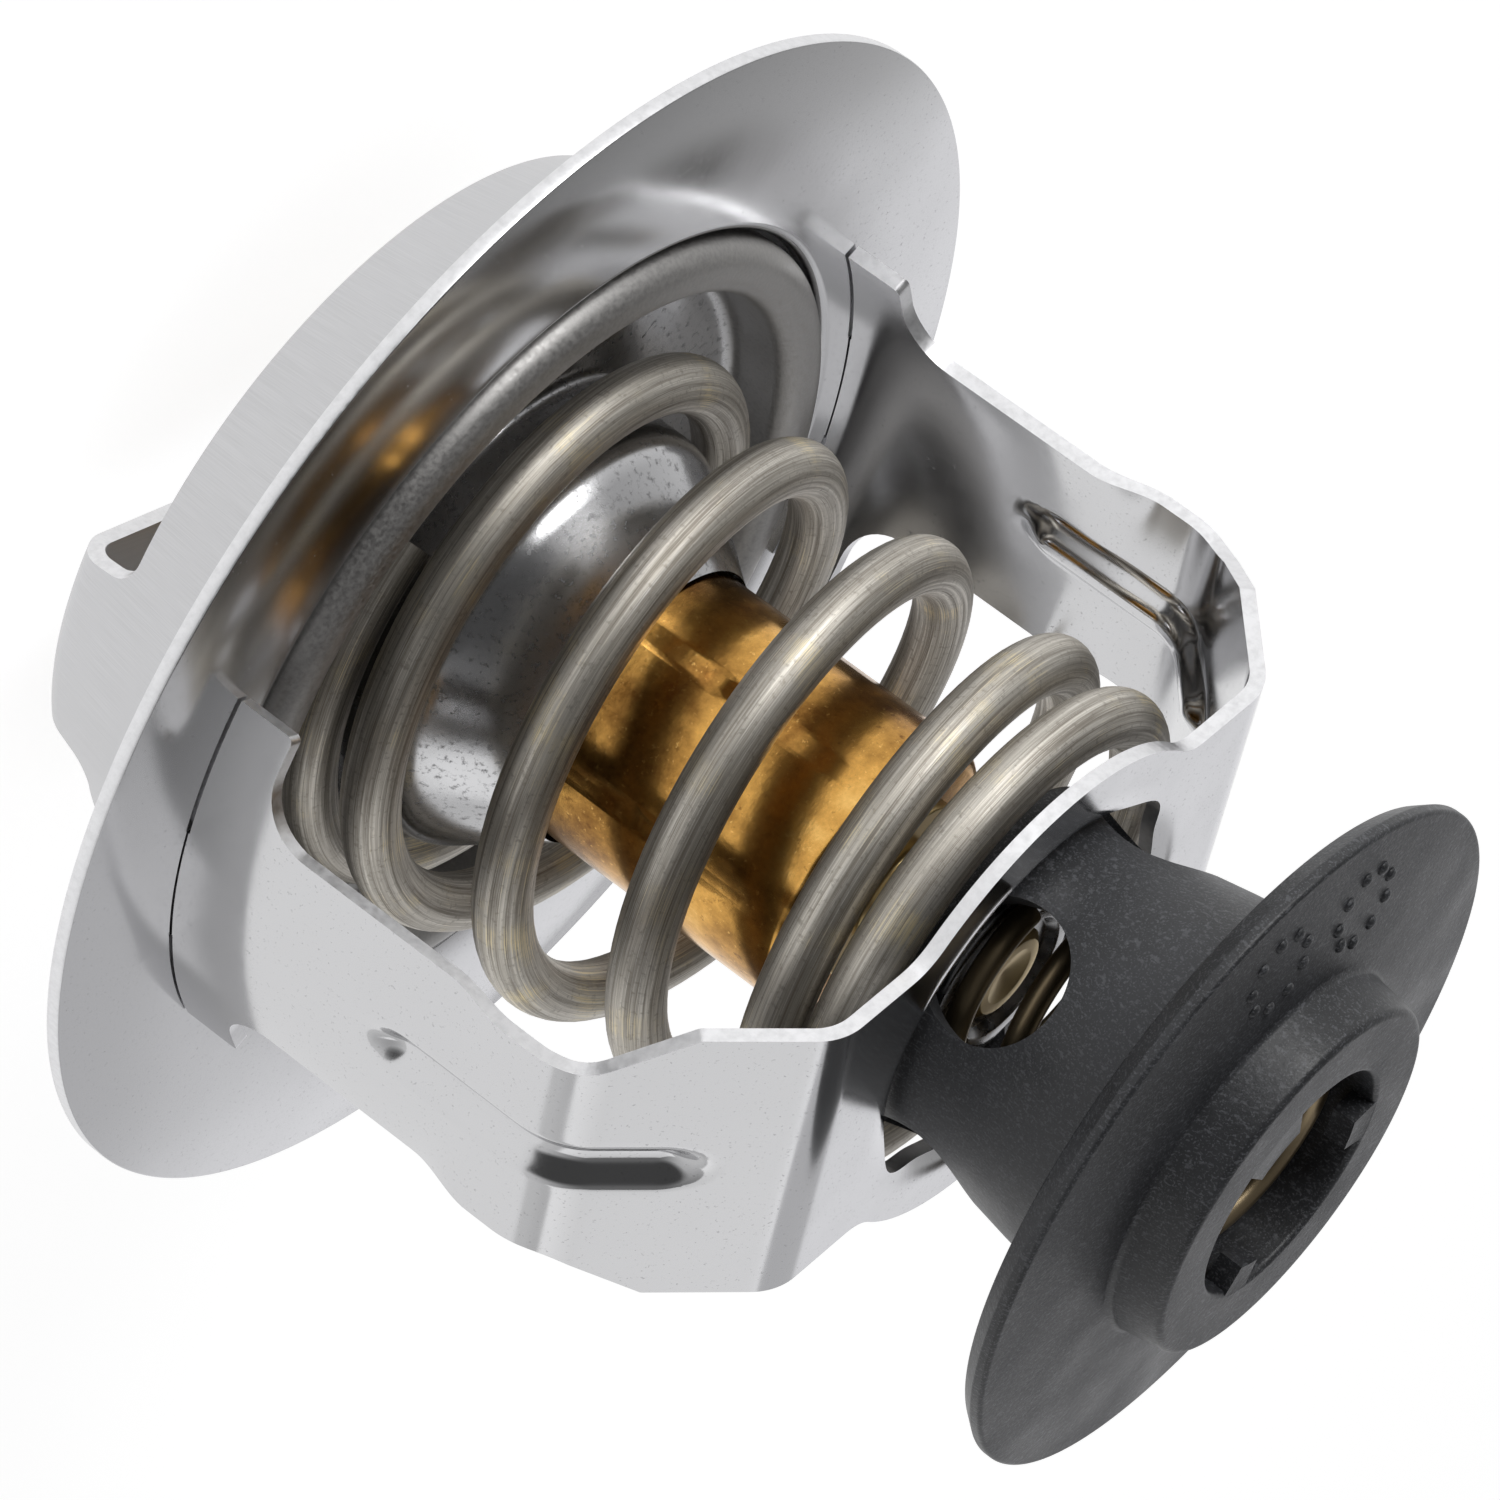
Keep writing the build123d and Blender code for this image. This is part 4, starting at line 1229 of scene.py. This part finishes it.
class THERMOSTAT_OT_element(Operator):
    """Wax element: staked cup and turned guide"""

    bl_idname = "thermostat.element"
    bl_label = "Wax element"

    def execute(self, context):
        s = settings(context).element
        finishes = settings(context).finishes
        corners = [
            (0, s.end_z),
            (s.radius, s.end_z, s.end_bend),
            (s.radius, s.flange_z, s.root_bend),
            (s.flange_radius, s.flange_z, s.flange_bend),
            (s.flange_radius, s.crimp_z, s.flange_bend),
            (s.flange_radius - s.crimp_reach, s.crimp_z),
        ]
        cup = lathe("wax_cup", sheet_section(corners, -s.wall))
        for index in range(s.marks):
            angle = s.first_mark + TAU * index / s.marks
            away = s.radius - s.mark_depth + s.mark_radius
            mark = start(
                "uv_sphere", segments=32, ring_count=16, radius=s.mark_radius,
                location=(away * math.cos(angle), away * math.sin(angle), s.mark_z),
            )
            settle(mark)
            combine(cup, mark, "DIFFERENCE")
        paint(cup, tarnished_cup_with_painted_light(finishes))
        smooth(cup)
        finish_piece(cup, "valve", "element_cup")
        corners = [
            (s.guide_bore, s.guide_nose_z),
            (s.guide_nose, s.guide_nose_z, s.nose_round),
            (s.guide_radius, s.guide_nose_z + s.guide_taper, s.taper_round),
            (s.guide_radius, s.guide_flange_z, s.nose_round),
            (s.guide_flange, s.guide_flange_z),
            (s.guide_flange, s.guide_top_z),
            (s.guide_bore, s.guide_top_z),
            (s.guide_bore, s.guide_nose_z),
        ]
        guide = lathe("pin_guide", rounded(corners), closed=True, steps=128)
        paint(guide, turned_brass(finishes))
        smooth(guide)
        finish_piece(guide, "valve", "element_guide")
        return {"FINISHED"}


class THERMOSTAT_OT_stud(Operator):
    """Riveted stud and the plate that carries the bypass spring"""

    bl_idname = "thermostat.stud"
    bl_label = "Stud and spring plate"

    def execute(self, context):
        s = settings(context).stud
        finishes = settings(context).finishes
        plate_top = s.plate_z + s.plate
        head_top = plate_top + s.head
        corners = [
            (0, s.base_z),
            (s.flange_radius, s.base_z),
            (s.flange_radius, s.base_z + s.flange, s.flange_edge),
            (s.radius, s.base_z + s.flange, s.neck_root),
            (s.radius, s.plate_z),
            (s.rivet_radius, s.plate_z),
            (s.rivet_radius, plate_top),
            (s.head_radius, plate_top, s.head_edge),
            (s.rivet_radius, head_top, s.crown_edge),
            (s.rivet_radius - s.crown, head_top, s.crown_edge),
            (0, plate_top),
        ]
        stud = lathe("riveted_stud", rounded(corners), steps=96)
        paint(stud, turned_brass(finishes))
        smooth(stud)
        finish_piece(stud, "valve", "element_stud")
        hole = s.rivet_radius + FIT
        crest = plate_top + s.ring_height
        corners = [
            (hole, s.plate_z),
            (s.plate_radius, s.plate_z, s.plate_under),
            (s.plate_radius, plate_top, s.plate_edge),
            (s.ring_radius + 2 * s.ring_half, plate_top, s.ring_root),
            (s.ring_radius + s.ring_half, crest, s.ring_edge),
            (s.ring_radius - s.ring_half, crest, s.ring_edge),
            (s.ring_radius - 2 * s.ring_half, plate_top, s.ring_root),
            (hole, plate_top),
            (hole, s.plate_z),
        ]
        plate = lathe("stop_plate", rounded(corners), closed=True, steps=128)
        paint(plate, ground_steel(finishes))
        smooth(plate)
        finish_piece(plate, "valve", "spring_plate")
        return {"FINISHED"}


def wound(name, turns, place, wire, around):
    """Coil spring: a grid is rolled into a rod and wound along a line given by its turns."""
    per_turn, nearby, cap = 84, 0.001, 0.12
    rows = math.ceil(turns * per_turn)
    piece = start("grid", x_subdivisions=rows, y_subdivisions=around, size=1)
    piece.name = name
    radius = wire / 2
    for vertex in piece.data.vertices:
        turned = (vertex.co.x + 0.5) * turns
        angle = (vertex.co.y + 0.5) * TAU
        middle = place(turned)
        ahead = (place(turned + nearby) - place(turned - nearby)).normalized()
        outward = Vector((middle.x, middle.y, 0)).normalized()
        outward = (outward - ahead * outward.dot(ahead)).normalized()
        upward = ahead.cross(outward)
        vertex.co = middle + radius * (math.cos(angle) * outward + math.sin(angle) * upward)
    edit(piece)
    bpy.ops.mesh.select_all(action="SELECT")
    bpy.ops.mesh.remove_doubles(threshold=WELD)
    bpy.ops.mesh.select_all(action="DESELECT")
    bpy.ops.mesh.select_mode(type="EDGE")
    bpy.ops.mesh.select_non_manifold()
    bpy.ops.mesh.edge_face_add()
    bpy.ops.mesh.inset(thickness=cap * wire)
    bpy.ops.mesh.select_mode(type="VERT")
    face_outwards()
    done()
    return piece


def winding(low, high, radii, closed_pitch, parts, angle):
    """Line of a spring's wire, whose pitch opens after the closed turns and closes again."""
    closed, active, end = parts
    turns = closed + active + end
    extra = (high - low - closed_pitch * turns) / active
    soft = 0.3

    def ramp(value):
        """0 below 0 and the value itself above it, with a soft start."""
        if value <= -soft / 2:
            return 0.0
        if value >= soft / 2:
            return value
        return (value + soft / 2) ** 2 / (2 * soft)

    def place(turned):
        """Where the wire's middle is after so many turns."""
        height = low + closed_pitch * turned
        height += extra * (ramp(turned - closed) - ramp(turned - closed - active))
        radius = radii[0] + (radii[1] - radii[0]) * turned / turns
        around = angle + TAU * turned
        return Vector((radius * math.cos(around), radius * math.sin(around), height))

    return turns, place


class THERMOSTAT_OT_springs(Operator):
    """Main spring and bypass spring"""

    bl_idname = "thermostat.springs"
    bl_label = "Springs"

    def execute(self, context):
        s = settings(context).springs
        finishes = settings(context).finishes
        radii = (s.start_radius, s.end_radius)
        parts = (s.closed_turns, s.active_turns, s.end_turns)
        turns, place = winding(s.start_z, s.end_z, radii, s.closed_pitch, parts, s.start_angle)
        main = wound("main_coil", turns, place, s.wire, 28)
        paint(main, spring_wire(finishes))
        smooth(main)
        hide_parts("main_spring")
        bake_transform(main)
        radii = (s.bypass_radius, s.bypass_radius)
        parts = (s.bypass_closed_turns, s.bypass_active_turns, s.bypass_end_turns)
        low, high = s.bypass_start_z, s.bypass_end_z
        turns, place = winding(low, high, radii, s.bypass_closed, parts, s.bypass_angle)
        small = wound("bypass_coil", turns, place, s.bypass_wire, 16)
        paint(small, bronze_wire(finishes))
        smooth(small)
        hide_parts("bypass_spring")
        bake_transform(small)
        return {"FINISHED"}


class THERMOSTAT_OT_bypass(Operator):
    """Moulded bypass valve: windowed tube, sealing disc and boss with inward lugs"""

    bl_idname = "thermostat.bypass"
    bl_label = "Bypass valve"

    def execute(self, context):
        s = settings(context).bypass
        collar_end = s.tube_start_z + s.collar
        corners = [
            (s.collar_radius, s.tube_start_z),
            (s.tube_radius, s.tube_start_z, s.edge),
            (s.tube_radius, s.straight_end_z, s.flare_start),
            (s.flare_radius, s.flare_z, s.flare_bend),
            (s.root_radius, s.root_z, s.root_bend),
            (s.back_radius, s.back_z, s.edge),
            (s.radius, s.edge_z - s.rim, s.rim_under),
            (s.radius, s.edge_z, s.rim_edge),
            (s.boss_base, s.crown_z, s.boss_root),
            (s.boss_radius, s.front_z, s.boss_edge),
            (s.recess, s.front_z, s.edge),
            (s.recess, s.recess_z, s.edge),
            (s.bore, s.recess_z - s.recess_cone, s.edge),
            (s.bore, collar_end, s.collar_root),
            (s.collar_radius, collar_end, s.collar_edge),
            (s.collar_radius, s.tube_start_z),
        ]
        piece = lathe("bypass_body", rounded(corners, step=math.radians(6)), closed=True)
        for index in range(s.windows):
            self.cut_window(piece, s, s.first_window + TAU * index / s.windows)
        for angle, half in LUGS:
            lug = ring_sector(
                "lug", s.lug_tip, s.recess + s.lug_root, s.front_z - s.lug, s.front_z - FIT,
                math.radians(angle), math.radians(half), steps=8,
            )
            combine(piece, lug, "UNION")
        for angle in DOT_RINGS:
            join(piece, *self.ring_of_dots(s, math.radians(angle)))
        paint(piece, moulded_plastic(settings(context).finishes))
        smooth(piece)
        finish_piece(piece, "bypass", "bypass_valve")
        return {"FINISHED"}

    def ring_of_dots(self, s, angle):
        """Plain ring of raised dots on the disc's front."""
        fall = (s.crown_z - s.edge_z) / (s.radius - s.boss_base)
        middle = s.dot_place * Vector((math.cos(angle), math.sin(angle), 0))
        ring = []
        for index in range(s.dots):
            around = TAU * index / s.dots
            place = middle + s.dot_ring * Vector((math.cos(around), math.sin(around), 0))
            place.z = s.crown_z - (place.length - s.boss_base) * fall
            ring.append(start(
                "uv_sphere", segments=16, ring_count=8, radius=s.dot, location=place,
                scale=(1, 1, s.dot_height),
            ))
        return ring

    def cut_window(self, piece, s, angle):
        """Cuts one round window through the tube's wall."""
        away = s.tube_radius
        tool = start(
            "cylinder", vertices=96, radius=s.window_radius, depth=s.tube_radius,
            location=(away * math.cos(angle), away * math.sin(angle), s.window_z),
            rotation=(0, math.pi / 2, angle),
        )
        settle(tool)
        combine(piece, tool, "DIFFERENCE")


class THERMOSTAT_OT_inner(Operator):
    """Finishes of the pieces sealed inside the element"""

    bl_idname = "thermostat.inner"
    bl_label = "Sealed inner pieces"

    def execute(self, context):
        rubber = hidden_finish("black_rubber", (0.03, 0.03, 0.03), 0.7)
        finishes = {
            "wax_charge": hidden_finish("copper_wax", (0.5, 0.3, 0.16), 0.6),
            "diaphragm": rubber,
            "rubber_plug": rubber,
            "guide_seal": rubber,
            "backup_washer": hidden_finish("white_disc", (0.8, 0.8, 0.77), 0.4),
        }
        for node, material in finishes.items():
            for material_slot in frame["nodes"][node].material_slots:
                material_slot.material = material
        return {"FINISHED"}


def direction(azimuth, elevation):
    """Unit vector towards an azimuth and an elevation in degrees."""
    azimuth, elevation = math.radians(azimuth), math.radians(elevation)
    level = math.cos(elevation)
    return Vector((level * math.cos(azimuth), level * math.sin(azimuth), math.sin(elevation)))


class THERMOSTAT_OT_stage(Operator):
    """Pale floor, soft studio light and the camera"""

    bl_idname = "thermostat.stage"
    bl_label = "Studio"

    def execute(self, context):
        studio = settings(context).studio
        self.floor(studio)
        self.world(context)
        target = Vector(studio.camera_target)
        for name, values in LAMPS.items():
            self.lamp(name, target, *values)
        self.camera(context, studio)
        return {"FINISHED"}

    def floor(self, studio):
        """Pale floor that takes the shadow and looks white to the camera and in mirrors."""
        floor = start("plane", size=studio.floor_size)
        floor.name = "floor"
        floor.location = (0, 0, CAD_BOX[0][2] - studio.floor_gap)
        material = bpy.data.materials.new("pale_floor")
        material.use_nodes = True
        tree = material.node_tree
        tree.nodes.clear()
        output = tree.nodes.new("ShaderNodeOutputMaterial")
        both = tree.nodes.new("ShaderNodeAddShader")
        matt = tree.nodes.new("ShaderNodeBsdfDiffuse")
        tone = studio.floor_tone
        matt.inputs["Color"].default_value = (tone, tone, tone, 1)
        glow = tree.nodes.new("ShaderNodeEmission")
        glow.inputs["Color"].default_value = (1, 1, 1, 1)
        seen = self.seen(tree)
        amount = tree.nodes.new("ShaderNodeMath")
        amount.operation = "MULTIPLY"
        amount.inputs[1].default_value = studio.floor_glow
        tree.links.new(seen, amount.inputs[0])
        tree.links.new(amount.outputs[0], glow.inputs["Strength"])
        tree.links.new(matt.outputs[0], both.inputs[0])
        tree.links.new(glow.outputs[0], both.inputs[1])
        tree.links.new(both.outputs[0], output.inputs["Surface"])
        paint(floor, material)

    def seen(self, tree):
        """1 for rays from the camera and for rays that a mirror or glass sends on."""
        path = tree.nodes.new("ShaderNodeLightPath")
        last = path.outputs["Is Camera Ray"]
        for name in ("Is Glossy Ray", "Is Transmission Ray"):
            either = tree.nodes.new("ShaderNodeMath")
            either.operation = "MAXIMUM"
            tree.links.new(last, either.inputs[0])
            tree.links.new(path.outputs[name], either.inputs[1])
            last = either.outputs[0]
        return last

    def world(self, context):
        """Sky that darkens upwards, with its cards."""
        world = bpy.data.worlds.new("studio")
        context.scene.world = world
        world.use_nodes = True
        tree = world.node_tree
        back = tree.nodes["Background"]
        place = tree.nodes.new("ShaderNodeTexCoord").outputs["Generated"]
        split = tree.nodes.new("ShaderNodeSeparateXYZ")
        tree.links.new(place, split.inputs[0])
        ramp = tree.nodes.new("ShaderNodeValToRGB")
        for stop, (height, grey) in zip(ramp.color_ramp.elements, SKY):
            stop.position = height
            stop.color = (grey, grey, grey, 1)
        tree.links.new(split.outputs[2], ramp.inputs[0])
        shown = ramp.outputs[0]
        for middle, edges, colour in CARDS:
            shown = self.card(tree, place, shown, middle, edges, colour)
        tree.links.new(shown, back.inputs["Color"])

    def card(self, tree, place, behind, middle, edges, colour):
        """Round card in the sky: its middle as azimuth and elevation, and its soft edge, in degrees."""
        near = tree.nodes.new("ShaderNodeVectorMath")
        near.operation = "DOT_PRODUCT"
        near.inputs[1].default_value = direction(*middle)
        tree.links.new(place, near.inputs[0])
        share = tree.nodes.new("ShaderNodeMapRange")
        share.inputs[1].default_value = math.cos(math.radians(edges[0]))
        share.inputs[2].default_value = math.cos(math.radians(edges[1]))
        tree.links.new(near.outputs["Value"], share.inputs[0])
        card = tree.nodes.new("ShaderNodeMix")
        card.data_type = "RGBA"
        card.inputs[7].default_value = (*colour, 1)
        tree.links.new(share.outputs[0], card.inputs[0])
        tree.links.new(behind, card.inputs[6])
        return card.outputs[2]

    def lamp(self, name, target, azimuth, elevation, distance, width, radiance):
        """Square soft box on a sphere about the target, with the brightness that a mirror shows."""
        away = direction(azimuth, elevation)
        light = bpy.data.lights.new(name, "AREA")
        light.shape = "SQUARE"
        light.size = width
        light.energy = radiance * math.pi * width**2
        lamp = bpy.data.objects.new(name, light)
        bpy.context.scene.collection.objects.link(lamp)
        lamp.location = target + away * distance
        lamp.rotation_euler = away.to_track_quat("Z", "Y").to_euler()

    def camera(self, context, studio):
        """Camera at its place, rolled about its own view."""
        place, target = Vector(studio.camera_place), Vector(studio.camera_target)
        ahead = (target - place).normalized()
        level = ahead.cross(Vector((0, 0, 1))).normalized()
        upright = level.cross(ahead)
        roll = studio.camera_roll
        up = upright * math.cos(roll) + level * math.sin(roll)
        right = ahead.cross(up)
        lens = bpy.data.cameras.new("camera")
        lens.lens = studio.lens
        lens.sensor_width = studio.sensor
        lens.clip_start = 10 * MM
        camera = bpy.data.objects.new("camera", lens)
        context.scene.collection.objects.link(camera)
        turned = Matrix((right, up, -ahead)).transposed().to_4x4()
        camera.matrix_world = Matrix.Translation(place) @ turned
        context.scene.camera = camera
        context.scene.view_settings.view_transform = "Standard"


class Thermostat(PropertyGroup):
    sheet: PointerProperty(type=SheetSizes)
    frame: PointerProperty(type=FrameSizes)
    valve: PointerProperty(type=ValveSizes)
    element: PointerProperty(type=ElementSizes)
    stud: PointerProperty(type=StudSizes)
    springs: PointerProperty(type=SpringSizes)
    bypass: PointerProperty(type=BypassSizes)
    finishes: PointerProperty(type=Finishes)
    studio: PointerProperty(type=StudioSizes)


OPERATORS = (
    THERMOSTAT_OT_housing,
    THERMOSTAT_OT_pin,
    THERMOSTAT_OT_frame,
    THERMOSTAT_OT_valve,
    THERMOSTAT_OT_element,
    THERMOSTAT_OT_stud,
    THERMOSTAT_OT_springs,
    THERMOSTAT_OT_bypass,
    THERMOSTAT_OT_inner,
    THERMOSTAT_OT_stage,
)


class THERMOSTAT_PT_panel(Panel):
    bl_label = "Engine thermostat"
    bl_space_type = "VIEW_3D"
    bl_region_type = "UI"
    bl_category = "Thermostat"

    def draw(self, context):
        for operator in OPERATORS:
            self.layout.operator(operator.bl_idname)


CLASSES = (
    SheetSizes,
    FrameSizes,
    ValveSizes,
    ElementSizes,
    StudSizes,
    SpringSizes,
    BypassSizes,
    Finishes,
    StudioSizes,
    Thermostat,
    *OPERATORS,
    THERMOSTAT_PT_panel,
)


def register():
    for cls in CLASSES:
        bpy.utils.register_class(cls)
    bpy.types.Scene.thermostat = PointerProperty(type=Thermostat)


def unregister():
    del bpy.types.Scene.thermostat
    for cls in reversed(CLASSES):
        bpy.utils.unregister_class(cls)


def main():
    register()
    for operator in OPERATORS:
        group, name = operator.bl_idname.split(".")
        getattr(getattr(bpy.ops, group), name)()
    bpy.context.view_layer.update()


if __name__ == "__main__":
    main()
